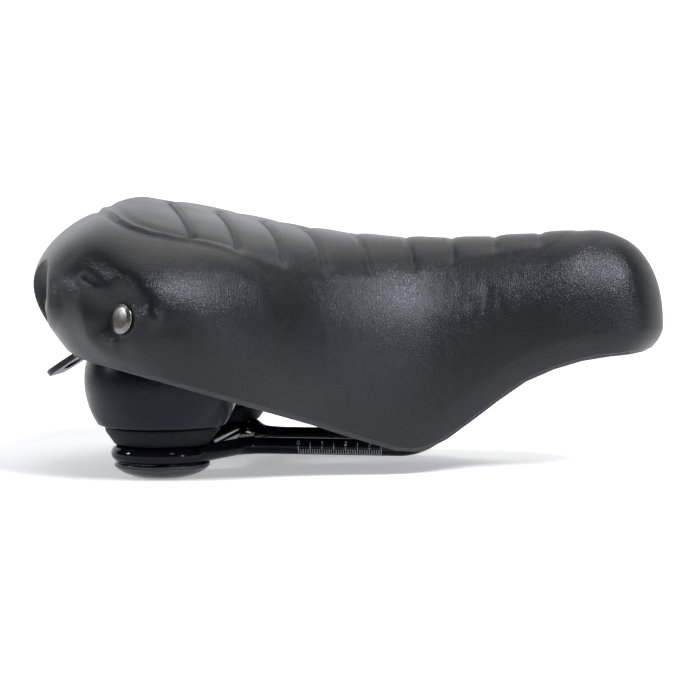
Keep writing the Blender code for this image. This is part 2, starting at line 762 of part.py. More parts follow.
def build_studs(cover, foam, shell):
    shell_tree = evaluated_tree(shell)
    for place_name, place, tail_turn, sink in (
            ("side", SIDE_STUD_PLACE, SIDE_STUD_TURN, SIDE_STUD_SINK),
            ("rear", REAR_STUD_PLACE, REAR_STUD_TURN, REAR_STUD_SINK)):
        seat, outward = stud_frame(place, tail_turn, sink)
        inner_wall = farthest_hit(shell_tree, seat, -outward, STUD_SEARCH)
        nut_top = -inner_wall - STUD_NUT_GAP
        nut_floor = nut_top - STUD_NUT_HEIGHT
        tip = nut_floor - STUD_TIP
        hole_radius = STUD_SHANK_RADIUS + HOLE_CLEARANCE
        pocket_radius = STUD_HEAD_RADIUS + STUD_POCKET_CLEARANCE
        head = dome(STUD_HEAD_RADIUS, STUD_HEAD_HEIGHT - STUD_RIM, STUD_RIM, 3)
        stud_profile = head[::-1] + [(STUD_HEAD_RADIUS, 0.0), (STUD_SHANK_RADIUS, 0.0),
                                     (STUD_SHANK_RADIUS, tip), (0.0, tip)]
        nut_profile = [(hole_radius, nut_top), (STUD_NUT_RADIUS, nut_top),
                       (STUD_NUT_RADIUS, nut_floor), (hole_radius, nut_floor)]
        cut_profile = [(0.0, POCKET_REACH), (pocket_radius, POCKET_REACH),
                       (pocket_radius, -GAP), (hole_radius, -GAP), (hole_radius, tip), (0.0, tip)]
        for side, sign in SIDES:
            point = (seat.x, sign * seat.y, seat.z)
            axis = (outward.x, sign * outward.y, outward.z)
            name = "stud_" + place_name + "_" + side
            stud = add_part(name, turned_mesh(name, stud_profile, closed=False), NICKEL)
            place_on_axis(turn(stud), point, axis)
            nut_name = "stud_nut_" + place_name + "_" + side
            nut = add_part(nut_name, turned_mesh(nut_name, nut_profile, closed=True), ZINC)
            place_on_axis(turn(nut, 12), point, axis)
            cutter = add_cutter(name + "_hole", turned_mesh(name + "_hole", cut_profile, False))
            place_on_axis(turn(cutter, 16), point, axis)
            for layer in (cover, foam, shell):
                combine(layer, cutter, "DIFFERENCE")


def farthest_hit(tree, start, direction, reach):
    """Distance from start to the last surface crossed along direction within reach."""
    distance = 0.0
    point = start
    while True:
        hit = tree.ray_cast(point, direction, reach - distance)
        if hit[0] is None:
            return distance
        distance += hit[3] + 0.00001
        point = start + direction * distance


# Nose: block under the shell, rubber bush on the bar, clamp below it

def build_nose(shell, ceiling):
    bore = BUSH_RADIUS + GAP
    half_length = bore + CLAMP_EAR
    low_x = NOSE_BAR_X - half_length
    high_x = NOSE_BAR_X + half_length
    block_half_width = BUSH_HALF_LENGTH

    bar_tunnel = add_cutter("bar_tunnel", cylinder_mesh(
        "bar_tunnel", bore, -NOSE_RAIL_SPACING, NOSE_RAIL_SPACING, 24))
    place_on_axis(bar_tunnel, (NOSE_BAR_X, 0.0, NOSE_BAR_HEIGHT), (0.0, 1.0, 0.0))

    block_floor = NOSE_BAR_HEIGHT + GAP
    join_boss(shell, ceiling, "nose_block",
              box_mesh("nose_block", (low_x, -block_half_width, block_floor),
                       (high_x, block_half_width, crown_height(NOSE_BAR_X) - TOP_FOAM / 2)))
    combine(shell, bar_tunnel, "DIFFERENCE")

    bush = add_part("nose_bush", turned_mesh(
        "nose_bush",
        [(BUSH_BORE, BUSH_HALF_LENGTH), (BUSH_RADIUS, BUSH_HALF_LENGTH),
         (BUSH_RADIUS, -BUSH_HALF_LENGTH), (BUSH_BORE, -BUSH_HALF_LENGTH)], closed=True), BUSH)
    place_on_axis(turn(bush), (NOSE_BAR_X, 0.0, NOSE_BAR_HEIGHT), (0.0, 1.0, 0.0))

    clamp_top = NOSE_BAR_HEIGHT - GAP
    clamp_floor = NOSE_BAR_HEIGHT - bore - CLAMP_WALL
    clamp = add_part("nose_clamp", box_mesh(
        "nose_clamp", (low_x, -block_half_width, clamp_floor),
        (high_x, block_half_width, clamp_top)), SHELL)
    combine(clamp, bar_tunnel, "DIFFERENCE")

    for place_name, sign in (("rear", -1), ("front", 1)):
        screw_x = NOSE_BAR_X + sign * (bore + CLAMP_EAR / 2)
        hole_top = block_floor + NOSE_SCREW_REACH + GAP
        hole = add_cutter("nose_hole_" + place_name, cylinder_mesh(
            "nose_hole", NOSE_SCREW_RADIUS + HOLE_CLEARANCE, clamp_floor - GAP, hole_top, 16))
        hole.location = (screw_x, 0.0, 0.0)
        combine(shell, hole, "DIFFERENCE")
        combine(clamp, hole, "DIFFERENCE")
        head_top = clamp_floor - GAP
        head_floor = head_top - NOSE_SCREW_HEAD_HEIGHT
        screw = add_part("nose_screw_" + place_name, turned_mesh(
            "nose_screw",
            [(0.0, hole_top - GAP), (NOSE_SCREW_RADIUS, hole_top - GAP),
             (NOSE_SCREW_RADIUS, head_top), (NOSE_SCREW_HEAD_RADIUS, head_top),
             (NOSE_SCREW_HEAD_RADIUS, head_floor), (0.0, head_floor)], closed=False), ZINC)
        screw.location = (screw_x, 0.0, 0.0)
        turn(screw, 12)


# Accessory tab: a sloping plate screwed under the tail

def tab_empty():
    """Frame of the tab: origin at its free end's upper edge, X up the slope, Z off its top."""
    edge = seat_point(0.0, 1.0)
    origin_x = edge.x - TAB_OVERHANG * math.cos(TAB_SLOPE)
    origin_z = edge.z - TAB_EDGE_CLEARANCE - TAB_OVERHANG * math.sin(TAB_SLOPE)
    empty = bpy.data.objects.new("tab_frame", None)
    empty.location = (origin_x, 0.0, origin_z)
    empty.rotation_euler = (0.0, -TAB_SLOPE, 0.0)
    CUTTERS.objects.link(empty)
    return empty


def tab_outline():
    """The plate's outline with its strap slot, and the two screw holes."""
    half = TAB_WIDTH / 2
    outline = []
    for centre_y, start in ((half - TAB_CORNER, 90.0), (TAB_CORNER - half, 180.0)):
        for step in range(5):
            angle = math.radians(start + 90.0 * step / 4)
            outline.append((TAB_CORNER + TAB_CORNER * math.cos(angle),
                            centre_y + TAB_CORNER * math.sin(angle)))
    outline += [(TAB_LENGTH, -half), (TAB_LENGTH, half)]
    slot_radius = TAB_SLOT_WIDTH / 2
    slot_y = TAB_SLOT_LENGTH / 2 - slot_radius
    slot = []
    for centre_y, start in ((slot_y, 0.0), (-slot_y, 180.0)):
        for step in range(7):
            angle = math.radians(start + 180.0 * step / 6)
            slot.append((TAB_SLOT_SETBACK + slot_radius * math.cos(angle),
                         centre_y + slot_radius * math.sin(angle)))
    loops = [outline, slot]
    hole_radius = NOSE_SCREW_RADIUS + HOLE_CLEARANCE
    for sign in (-1, 1):
        hole = []
        for step in range(12):
            angle = math.tau * step / 12
            hole.append((TAB_LENGTH - TAB_SCREW_SETBACK + hole_radius * math.cos(angle),
                         sign * TAB_SCREW_SPACING / 2 + hole_radius * math.sin(angle)))
        loops.append(hole)
    return loops


def build_tab(cover, foam, shell, ceiling):
    frame = tab_empty()
    curve = bpy.data.curves.new("accessory_tab", "CURVE")
    curve.dimensions = "2D"
    curve.fill_mode = "BOTH"
    curve.extrude = TAB_THICKNESS / 2
    for loop in tab_outline():
        spline = curve.splines.new("POLY")
        spline.points.add(len(loop) - 1)
        for target, (x, y) in zip(spline.points, loop):
            target.co = (x, y, 0.0, 1.0)
        spline.use_cyclic_u = True
    tab = add_part("accessory_tab", curve_solid(curve), SHELL)
    tab.parent = frame
    tab.location = (0.0, 0.0, -TAB_THICKNESS / 2)

    screw_x = TAB_LENGTH - TAB_SCREW_SETBACK
    boss_half = TAB_BOSS_LENGTH / 2
    boss = join_boss(shell, ceiling, "tab_boss", box_mesh(
        "tab_boss", (screw_x - boss_half, -TAB_BOSS_WIDTH / 2, GAP),
        (screw_x + boss_half, TAB_BOSS_WIDTH / 2, TAB_BOSS_REACH)))
    boss.parent = frame

    half_notch = TAB_WIDTH / 2 + TAB_NOTCH_CLEARANCE
    notch = add_cutter("tab_notch", box_mesh(
        "tab_notch", (-TAB_LENGTH, -half_notch, -TAB_NOTCH_DEPTH),
        (TAB_LENGTH + TAB_NOTCH_CLEARANCE, half_notch, GAP)))
    notch.parent = frame
    for layer in (cover, foam, shell):
        combine(layer, notch, "DIFFERENCE")

    seat_floor = -TAB_THICKNESS
    seat_radius = TAB_SCREW_HEAD_RADIUS + 2 * GAP
    seat_top = seat_floor + seat_radius - NOSE_SCREW_RADIUS
    head_floor = seat_floor + GAP
    head_top = head_floor + TAB_SCREW_HEAD_HEIGHT
    for side, sign in SIDES:
        place = (screw_x, sign * TAB_SCREW_SPACING / 2, 0.0)
        seat = add_cutter("tab_screw_seat_" + side, turned_mesh(
            "tab_screw_seat",
            [(0.0, seat_top), (NOSE_SCREW_RADIUS, seat_top), (seat_radius, seat_floor),
             (seat_radius, seat_floor - GAP), (0.0, seat_floor - GAP)], closed=False))
        seat.parent = frame
        seat.location = place
        combine(tab, turn(seat), "DIFFERENCE")
        hole = add_cutter("tab_hole_" + side, cylinder_mesh(
            "tab_hole", NOSE_SCREW_RADIUS + HOLE_CLEARANCE, 0.0, TAB_SCREW_REACH + GAP, 16))
        hole.parent = frame
        hole.location = place
        combine(shell, hole, "DIFFERENCE")
        screw = add_part("tab_screw_" + side, turned_mesh(
            "tab_screw",
            [(0.0, TAB_SCREW_REACH), (NOSE_SCREW_RADIUS, TAB_SCREW_REACH),
             (NOSE_SCREW_RADIUS, head_top), (TAB_SCREW_HEAD_RADIUS, head_floor),
             (0.0, head_floor)], closed=False), ZINC)
        screw.parent = frame
        screw.location = place
        turn(screw, 12)


# Build

build_rails()
for side_name, side_sign in SIDES:
    build_ball_set(side_name, side_sign)
SEAT_GRID = seat_rows()
SEAT_NORMALS = grid_normals(SEAT_GRID)
COVER_PART, FOAM_PART, SHELL_PART = build_seat_layers(SEAT_GRID, SEAT_NORMALS)
CEILING = build_ceiling(SEAT_GRID, SEAT_NORMALS)
build_studs(COVER_PART, FOAM_PART, SHELL_PART)
build_ball_bosses(SHELL_PART, CEILING)
build_nose(SHELL_PART, CEILING)
build_tab(COVER_PART, FOAM_PART, SHELL_PART, CEILING)
bpy.context.view_layer.update()
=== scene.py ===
"""Looks of the comfort saddle: sculpted cover, foam, balls, rails and their materials.

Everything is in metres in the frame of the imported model: +X to the nose, +Y to the rider's
left, +Z up, with the origin between the rails where a seatpost clamps them.
"""
import bpy
import bmesh
import math
import numpy as np
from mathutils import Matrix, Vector, noise


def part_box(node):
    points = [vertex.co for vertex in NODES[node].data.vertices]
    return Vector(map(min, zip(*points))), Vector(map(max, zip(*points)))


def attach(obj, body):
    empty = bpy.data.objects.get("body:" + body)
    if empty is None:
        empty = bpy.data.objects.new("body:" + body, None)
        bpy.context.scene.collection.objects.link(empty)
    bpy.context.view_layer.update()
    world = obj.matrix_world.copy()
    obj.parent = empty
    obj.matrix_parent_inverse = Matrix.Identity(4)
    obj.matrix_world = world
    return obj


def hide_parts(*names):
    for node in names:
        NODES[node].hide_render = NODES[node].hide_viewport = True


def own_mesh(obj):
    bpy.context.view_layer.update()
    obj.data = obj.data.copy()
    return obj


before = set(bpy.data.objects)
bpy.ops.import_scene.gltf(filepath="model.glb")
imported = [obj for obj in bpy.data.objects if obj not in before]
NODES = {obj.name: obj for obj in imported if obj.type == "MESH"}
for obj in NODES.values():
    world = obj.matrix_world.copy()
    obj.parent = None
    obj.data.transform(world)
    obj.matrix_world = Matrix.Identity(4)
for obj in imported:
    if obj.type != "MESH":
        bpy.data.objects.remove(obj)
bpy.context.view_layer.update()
SIDES = (("right", -1), ("left", 1))

# Seat form, as in the CAD model
REAR_REACH = 0.1270
FRONT_REACH = 0.1335
HALF_WIDTH = 0.1040
TOP_FOAM = 0.0240
BULGE_SHARE = 0.70
BULGE_SINK = 0.40
COVER_THICKNESS = 0.0016

# Foam: its gap under the cover, its thinnest sheet, its extra room round the studs and the
# share of its depth that it fills
FOAM_GAP = 0.0014
FOAM_LEAST = 0.0004
FOAM_STUD_ROOM = 0.0040
FOAM_SHARE = 0.93

# The form is evened over this many stations to each side
EVENING = 0.30

# Grid steps between two stations, and rows from the crown to the lower edge
COVER_STEPS = 26
COVER_ROWS = 125
FOAM_STEPS = 12
FOAM_ROWS = 61

# Studs, as in the CAD model
SIDE_STUD_PLACE = (4.18, 0.775)
REAR_STUD_PLACE = (2.40, 0.77)
SIDE_STUD_TURN = math.radians(17.0)
REAR_STUD_TURN = math.radians(18.0)
STUD_TILT = math.radians(6.0)
SIDE_STUD_SINK = 0.0030
REAR_STUD_SINK = 0.0060
STUD_HEAD_RADIUS = 0.0060
STUD_HEAD_HEIGHT = 0.0018
STUD_SHANK_RADIUS = 0.0020
STUD_SHANK_END = -0.0085
STUDS = {
    "side": (SIDE_STUD_PLACE, SIDE_STUD_TURN, SIDE_STUD_SINK),
    "rear": (REAR_STUD_PLACE, REAR_STUD_TURN, REAR_STUD_SINK),
}
UNDER_STUD = -0.00045

# The hollow round each stud: its reaches in millimetres to the side, to the middle, up and
# down, the two powers that shape its wall, and how far its outline wavers
HOLLOWS = {
    "side": ((20, 17, 18, 15), (1.0, 1.7), 0.14),
    "rear": ((22, 13, 17, 11), (2.4, 1.2), 0.03),
}

# Rails and balls, as in the CAD model
RAIL_RADIUS = 0.0035
RAIL_Y = 0.0220
CLAMP_REAR_X = -0.0400
CLAMP_FRONT_X = 0.0350
FRONT_BEND_RADIUS = 0.0240
REAR_BEND_RADIUS = 0.0140
CROSSBAR_X = -0.0560
CROSSBAR_BEND_RADIUS = 0.0100
NOSE_BAR_X = 0.1000
NOSE_BAR_DROP = 0.0124
NOSE_RAIL_Y = 0.0130
NOSE_BEND_RADIUS = 0.0070
UPPER_BEND_SETBACK = 0.0160
UPPER_BEND_DROP = 0.0020
UPPER_BEND_RADIUS = 0.0140
BALL_X = -0.0690
BALL_Y = 0.0520
BALL_RADIUS = 0.0316
BALL_CENTRE = 0.029546
BALL_FLOOR = 0.0113
BALL_TOP = 0.056055
BALL_BORE_RADIUS = 0.0062
BALL_HEAD_RADIUS = 0.0166
BALL_FOOT_RADIUS = 0.0250
RING_RADIUS = 0.0174
CUP_TOP_RADIUS = 0.0234
CUP_FOOT_RADIUS = 0.01945
CUP_TOP = 0.0110
CUP_RIM = 0.0090
CUP_FOOT = 0.0038
CUP_SPIGOT_RADIUS = 0.0136
CUP_SPIGOT_END = -0.0032
CAP_RADIUS = 0.0196
CAP_TOP = -0.0038
CAP_EDGE = -0.0052
CAP_FOOT = -0.0098
BOLT_HOLE_RADIUS = 0.0033
BOLT_RECESS_RADIUS = 0.0055
BOLT_RECESS_TOP = -0.0062

# View and stage
CAMERA_AZIMUTH = math.radians(9.0)
CAMERA_ELEVATION = math.radians(4.0)
CAMERA_DISTANCE = 1.0
CAMERA_TARGET = (0.00065, 0.0, 0.0390)
CAMERA_LENS = 120.75
FLOOR_GLOW = 0.36
BACKDROP_GLOW = 0.95
FLOOR_REACH = 5.0
FLOOR_BEND_Y = 1.4
FLOOR_BEND_RADIUS = 0.6
BACKDROP_HEIGHT = 2.4
LIGHT_SPREAD = math.radians(60.0)

# Arc steps of the rod's bends and of the rounded profiles
RAIL_ARC_STEP = math.radians(4.0)
PROFILE_ARC_STEP = math.radians(12.0)

# The crown line along the middle, from tail to nose: each point's place as a share of the
# reach, and its height
CROWN = [
    (-0.830, 0.1036), (-0.700, 0.1048), (-0.535, 0.1018), (-0.370, 0.0973),
    (-0.205, 0.0932), (-0.040, 0.0902), (0.135, 0.0882), (0.337, 0.0879),
    (0.495, 0.0888), (0.644, 0.0903), (0.750, 0.0904), (0.862, 0.0895),
]

# Stations round one side, from tail to nose: the outline's place and half width as shares,
# the lower edge's height, the crown point fanned out from, the tuck of the lower edge, the
# share of the height at which the side is widest, the roundness and the foam at the side.
STATIONS = [
    (-0.984, 0.00, .0500, -0.677, .018, .58, 2.0, .0090),
    (-1.000, 0.25, .0475, -0.661, .018, .58, 2.0, .0090),
    (-0.958, 0.56, .0440, -0.614, .019, .59, 1.9, .0090),
    (-0.840, 0.83, .0420, -0.535, .012, .58, 2.0, .0065),
    (-0.630, 0.97, .0380, -0.425, .009, .58, 2.2, .0065),
    (-0.409, 1.00, .0320, -0.283, .007, .64, 2.3, .0080),
    (-0.205, 0.85, .0238, -0.142, .005, .70, 2.3, .0080),
    (-0.031, 0.64, .0147, 0.015, .005, .74, 2.2, .0070),
    (0.127, 0.50, .0060, 0.150, .005, .80, 2.2, .0060),
    (0.270, 0.41, .0015, 0.285, .005, .84, 2.2, .0050),
    (0.419, 0.35, .0140, 0.427, .004, .82, 2.2, .0045),
    (0.584, 0.30, .0300, 0.569, .004, .80, 2.2, .0040),
    (0.764, 0.27, .0385, 0.689, .004, .80, 2.2, .0038),
    (0.929, 0.20, .0410, 0.764, .004, .80, 2.2, .0038),
    (1.000, 0.00, .0415, 0.794, .005, .80, 2.2, .0038),
]


# Seat form

def curve_values(values, places):
    """Catmull-Rom values at fractional indices into a list that carries on evenly."""
    values = np.asarray(values, float)
    padded = np.concatenate(([2 * values[0] - values[1]], values, [2 * values[-1] - values[-2]]))
    places = np.asarray(places, float)
    index = np.clip(places.astype(int), 0, len(values) - 2)
    share = places - index
    before, first, second, after = (padded[index + k] for k in range(4))
    return 0.5 * (2 * first + (second - before) * share
                  + (2 * before - 5 * first + 4 * second - after) * share ** 2
                  + (3 * first - before - 3 * second + after) * share ** 3)


def reach_x(share):
    """The place along X of a share of the reach, negative towards the tail."""
    share = np.asarray(share, float)
    return share * np.where(share < 0, REAR_REACH, FRONT_REACH)


CROWN_X = reach_x([share for share, _ in CROWN])
CROWN_Z = [height for _, height in CROWN]


def crown_height(x):
    """The crown line's height at x, the same beyond its two ends."""
    x = np.clip(x, CROWN_X[0], CROWN_X[-1])
    index = np.clip(np.searchsorted(CROWN_X, x, side="right") - 1, 0, len(CROWN_X) - 2)
    share = (x - CROWN_X[index]) / (CROWN_X[index + 1] - CROWN_X[index])
    return curve_values(CROWN_Z, index + share)


def station_values(stations):
    """The eight station columns at fractional stations, mirrored beyond the two ends."""
    columns = []
    for column in range(8):
        sign = -1 if column == 1 else 1
        values = [sign * STATIONS[1][column]]
        values += [station[column] for station in STATIONS]
        values.append(sign * STATIONS[-2][column])
        columns.append(curve_values(values, np.asarray(stations, float) + 1))
    return columns


def seat_surface(stations, rows, layer=0.0):
    """Points of the form for each station and row, on the left side, as [station, row, xyz].

    Layer 0 is the cover's outside and layer 1 the foam's underside.
    """
    columns = [column[:, None] for column in station_values(stations)]
    out_share, half_share, edge_z, crown_share, tuck, bulge, roundness, side_foam = columns
    row = np.asarray(rows, float)[None, :]
    fan_x = reach_x(crown_share)
    side_x = reach_x(out_share) - fan_x
    side_y = half_share * HALF_WIDTH
    span = np.hypot(side_x, side_y)
    sink = layer * TOP_FOAM
    bulge_sink = sink * (1 - bulge) * BULGE_SINK
    angle = np.minimum(row / BULGE_SHARE, 1) * math.pi / 2
    level = np.maximum(np.cos(angle), 0) ** (2 / roundness)
    down = np.clip((row - BULGE_SHARE) / (1 - BULGE_SHARE), 0, 1)
    above = row <= BULGE_SHARE
    outward = np.where(above, np.sin(angle) ** (2 / roundness), 1 - tuck / span * down ** 2)
    fall = np.where(above, bulge * (1 - level), bulge + (1 - bulge) * down)
    depth = np.where(above, bulge_sink + (sink - bulge_sink) * level, bulge_sink * (1 - down))
    outward = outward * (1 - layer * side_foam / span)
    x = fan_x + side_x * outward
    y = side_y * outward
    crown_z = crown_height(x)
    z = edge_z + (crown_z - edge_z) * (1 - fall) - depth
    return np.stack([x, y, z], axis=-1)


def surface_normals(points):
    """Outward normals of a grid of points, level across the middle plane at its first row."""
    along = np.gradient(points, axis=0)
    down = np.gradient(points, axis=1)
    down[:, 0] = (0.0, 1.0, 0.0)
    along[0] = (0.0, 1.0, 0.0)
    along[0, 0] = points[1, 0] - points[0, 0]
    along[-1] = (0.0, -1.0, 0.0)
    along[-1, 0] = points[-1, 0] - points[-2, 0]
    normals = np.cross(along, down)
    lengths = np.linalg.norm(normals, axis=-1, keepdims=True)
    return normals / np.maximum(lengths, 1e-12)


# Sculpted relief of the cover over the left half. The lists are in millimetres.

MM = 0.001

# Grooves across the panel: where each one crosses the middle, and how far it sweeps forward
# for each millimetre to the side
GROOVES = [
    (-77, .38), (-56, .36), (-37, .38), (-19.5, .42), (2, .41), (24, .34), (43.8, .19),
    (62, .14), (81, .13),
]
GROOVE_ROUNDING = 6.0 * MM

# The ribbed panel's border seen from above
PANEL_BORDER = [
    (-107, 0), (-104, 18), (-98, 35), (-91, 50), (-84, 63.5), (-77, 72), (-67.5, 77),
    (-57, 77), (-49, 75.5), (-42, 74), (-32, 71), (-23, 68.6), (-14, 62), (-7, 56.5),
    (9.5, 43), (26.5, 32), (44, 26), (64, 20), (83, 18), (90, 14), (96, 0),
]

# The crease round the tail and the folds beside the studs, as lines over the surface
TAIL_CREASE = [
    (-106.6, 69.4, 84.6), (-101, 79.7, 82.5), (-97, 86, 80.3), (-92, 92, 78.2),
    (-86, 96, 74.8), (-80, 99, 70.7), (-75.5, 101, 66.5), (-67, 104, 61.7),
    (-55, 104, 57.5), (-48, 102, 54.8), (-38, 98, 49.5),
]
FLANK_RIDGES = [
    [(-93.4, 92.7, 75.4), (-86.7, 96.8, 70.9), (-77.7, 100.7, 67.7)],
    [(-64.5, 104.2, 61.3), (-59.8, 104.2, 58.7), (-55.1, 104, 56)],
    [(-84.6, 96.1, 52.2), (-78.4, 98.3, 50.4), (-74.2, 99.4, 48.9)],
]


def hill(distance, width):
    """A bell curve of height 1."""
    return np.exp(-0.5 * (distance / width) ** 2)


def ramp(value, start, finish):
    """A smooth step from 0 at start to 1 at finish."""
    share = np.clip((value - start) / (finish - start), 0, 1)
    return share * share * (3 - 2 * share)


def polyline_distance(points, corners):
    """Distance from each point to a line through corners, and the share along it."""
    corners = np.array(corners, float) * MM
    best = np.full(points.shape[:-1], 1e9)
    place = np.zeros(points.shape[:-1])
    for index in range(len(corners) - 1):
        start, run = corners[index], corners[index + 1] - corners[index]
        share = np.clip(((points - start) @ run) / (run @ run), 0, 1)
        gap = np.linalg.norm(points - start - share[..., None] * run, axis=-1)
        nearer = gap < best
        best = np.where(nearer, gap, best)
        place = np.where(nearer, (index + share) / (len(corners) - 1), place)
    return best, place


def border_half_width(x):
    """The panel's half width at x."""
    border = np.array(PANEL_BORDER, float) * MM
    return np.interp(x, border[:, 0], border[:, 1])


def inside_panel(points):
    """Distance inside the ribbed panel's border, negative outside it."""
    best, _ = polyline_distance(points * (1, 1, 0), [(x, y, 0) for x, y in PANEL_BORDER])
    return np.where(points[..., 1] < border_half_width(points[..., 0]), best, -best)


def groove_relief(points, inside):
    """Sewn grooves across the panel: a soft fall towards the nose, then a sharp rise."""
    relief = np.zeros(points.shape[:-1])
    puff = 0.5 + 0.5 * ramp(points[..., 0], 30 * MM, -50 * MM)
    across = np.sqrt(points[..., 1] ** 2 + GROOVE_ROUNDING ** 2) - GROOVE_ROUNDING
    for middle_x, sweep in GROOVES:
        ahead = (points[..., 0] - middle_x * MM - sweep * across) / math.hypot(1, sweep)
        broad = hill(ahead, np.where(ahead < 0, 7.0 * MM, 2.6 * MM))
        relief -= puff * (1.2 * MM * hill(ahead, 0.95 * MM) + 1.1 * MM * broad)
    return relief * ramp(inside, -1.0 * MM, 6.0 * MM)


def border_relief(points, inside):
    """The panel's edge: two grooves with a ridge at the back, a soft step at the front."""
    rear = ramp(points[..., 0], -30.0 * MM, -58.0 * MM)
    step = ramp(inside, 1.5 * MM, -1.5 * MM) * np.exp(np.minimum(inside, 0) / (10 * MM))
    relief = -0.7 * MM * step * (0.35 + 0.65 * rear)
    relief -= rear * 0.55 * MM * hill(inside + 1.5 * MM, 1.2 * MM)
    relief += rear * 0.35 * MM * hill(inside - 1.0 * MM, 0.9 * MM)
    relief -= rear * 0.7 * MM * hill(inside - 3.6 * MM, 1.7 * MM)
    relief += (1 - rear) * 0.45 * MM * hill(inside + 9 * MM, 3.5 * MM)
    return relief


def crease_relief(points):
    """The hollow that the studs draw across the side, and the folds on its lower flank."""
    gap, place = polyline_distance(points, TAIL_CREASE)
    taper = (0.35 + 0.65 * ramp(place, 0.2, 0.55)) * ramp(place, 0.0, 0.2) * ramp(place, 1.0, 0.6)
    relief = -2.4 * MM * taper * hill(gap, 4.0 * MM)
    for ridge in FLANK_RIDGES:
        gap, place = polyline_distance(points, ridge)
        ends = ramp(place, 0.0, 0.3) * ramp(place, 1.0, 0.7)
        relief += 1.7 * MM * ends * hill(gap, 2.0 * MM)
    seat = np.array(stud_frame(*STUDS["side"])[0])
    from_stud = np.linalg.norm(points - seat, axis=-1)
    return relief + 1.4 * MM * hill(from_stud - 15 * MM, 5 * MM)


def stud_frame(place, tail_turn, sink):
    """Centre of a stud's seat on the form and the direction it faces there, left side."""
    station, row = place
    small = 0.02
    nearby = seat_surface([station - small, station, station + small],
                          [row - small, row, row + small])
    outward = np.cross(nearby[2, 1] - nearby[0, 1], nearby[1, 2] - nearby[1, 0])
    turn_cos, turn_sin = math.cos(tail_turn), math.sin(tail_turn)
    level = Vector((outward[0] * turn_cos - outward[1] * turn_sin,
                    outward[0] * turn_sin + outward[1] * turn_cos, 0.0)).normalized()
    axis = level * math.cos(STUD_TILT) + Vector((0, 0, math.sin(STUD_TILT)))
    return Vector(nearby[1, 1]) - axis * sink, axis


def pulled_in(points, stud, reaches, shape, waves, deeper):
    """Points drawn in round a stud so that the cover lies flat under its head."""
    seat, axis = (np.array(vector) for vector in stud_frame(*stud))
    sideways = np.cross((0, 0, 1), axis)
    sideways *= math.copysign(1, sideways[1]) / np.linalg.norm(sideways)
    upward = np.cross(sideways, axis)
    upward *= math.copysign(1, upward[2])
    offset = points - seat
    height, across, rise = offset @ axis, offset @ sideways, offset @ upward
    flat = np.hypot(across, rise)
    side_reach, middle_reach, up_reach, down_reach = (reach * MM + deeper for reach in reaches)
    level_share = across / np.where(across > 0, side_reach, middle_reach)
    rise_share = rise / np.where(rise > 0, up_reach, down_reach)
    reach = flat / np.maximum(np.hypot(level_share, rise_share), 1e-9)
    around = np.arctan2(rise, across)
    reach *= 1 + waves * np.sin(5 * around + 0.8) + waves / 2 * np.sin(2 * around)
    under_head = STUD_HEAD_RADIUS * 1.06 + deeper
    share = np.clip((flat - under_head) / np.maximum(reach - under_head, 1e-6), 0, 1)
    inner, outer = shape
    hold = (1 - share ** inner) ** outer * ramp(height, -20 * MM, -8 * MM)
    moved = hold * (UNDER_STUD - deeper - height)
    return points + moved[..., None] * axis


def fine_waves(points):
    """Small uneven swells of a padded skin, finer and stronger in two creased patches."""
    flat = points.reshape(-1, 3)
    swell = np.array([noise.noise(Vector(point) * 34.0) for point in flat])
    fine = np.array([noise.noise(Vector((x * 300, y * 90, z * 150))) for x, y, z in flat])
    middle = np.array((61 * MM, 31 * MM, 64 * MM))
    patch = np.exp(-((flat - middle) ** 2 / np.array((20 * MM, 14 * MM, 9 * MM)) ** 2).sum(1))
    relief = 0.16 * MM * swell + 0.22 * MM * fine * patch
    return relief.reshape(points.shape[:-1])


def evened(points, reach):
    """Points evened out along the stations, so that the form has no sudden bends."""
    steps = np.arange(-2 * reach, 2 * reach + 1)
    weights = hill(steps, reach / 1.5)
    flip = np.array((1, -1, 1))
    before = points[1:2 * reach + 1][::-1] * flip
    after = points[-2 * reach - 1:-1][::-1] * flip
    longer = np.concatenate((before, points, after))
    total = sum(weight * longer[index:index + len(points)]
                for index, weight in enumerate(weights))
    return total / weights.sum()


def sculpted(stations, rows, deeper=0.0):
    """The cover's outside with its relief, deeper by the studs if asked, and its normals."""
    points = seat_surface(stations, rows)
    points = evened(points, max(2, round(EVENING / (stations[1] - stations[0]))))
    normals = surface_normals(points)
    inside = inside_panel(points)
    relief = -0.25 * MM + groove_relief(points, inside) + border_relief(points, inside)
    relief += fine_waves(points)
    upper = ramp(points[..., 2], 40 * MM, 60 * MM)
    relief = np.where(points[..., 0] < 0, relief, relief * upper - 0.1 * MM * (1 - upper))
    relief += crease_relief(points)
    points = points + relief[..., None] * normals
    for place_name, stud_place in STUDS.items():
        points = pulled_in(points, stud_place, *HOLLOWS[place_name], deeper)
    points[0, :, 1] = 0.0
    points[-1, :, 1] = 0.0
    points[:, 0, 1] = 0.0
    return points, surface_normals(points)


# Mesh helpers

def new_object(name, mesh, material, smooth=True):
    piece = bpy.data.objects.new(name, mesh)
    bpy.context.scene.collection.objects.link(piece)
    mesh.materials.append(material)
    if smooth:
        mesh.shade_smooth()
    return piece


def mesh_from(name, points, faces):
    mesh = bpy.data.meshes.new(name)
    mesh.from_pydata([tuple(map(float, point)) for point in points], [], faces)
    mesh.update()
    return mesh


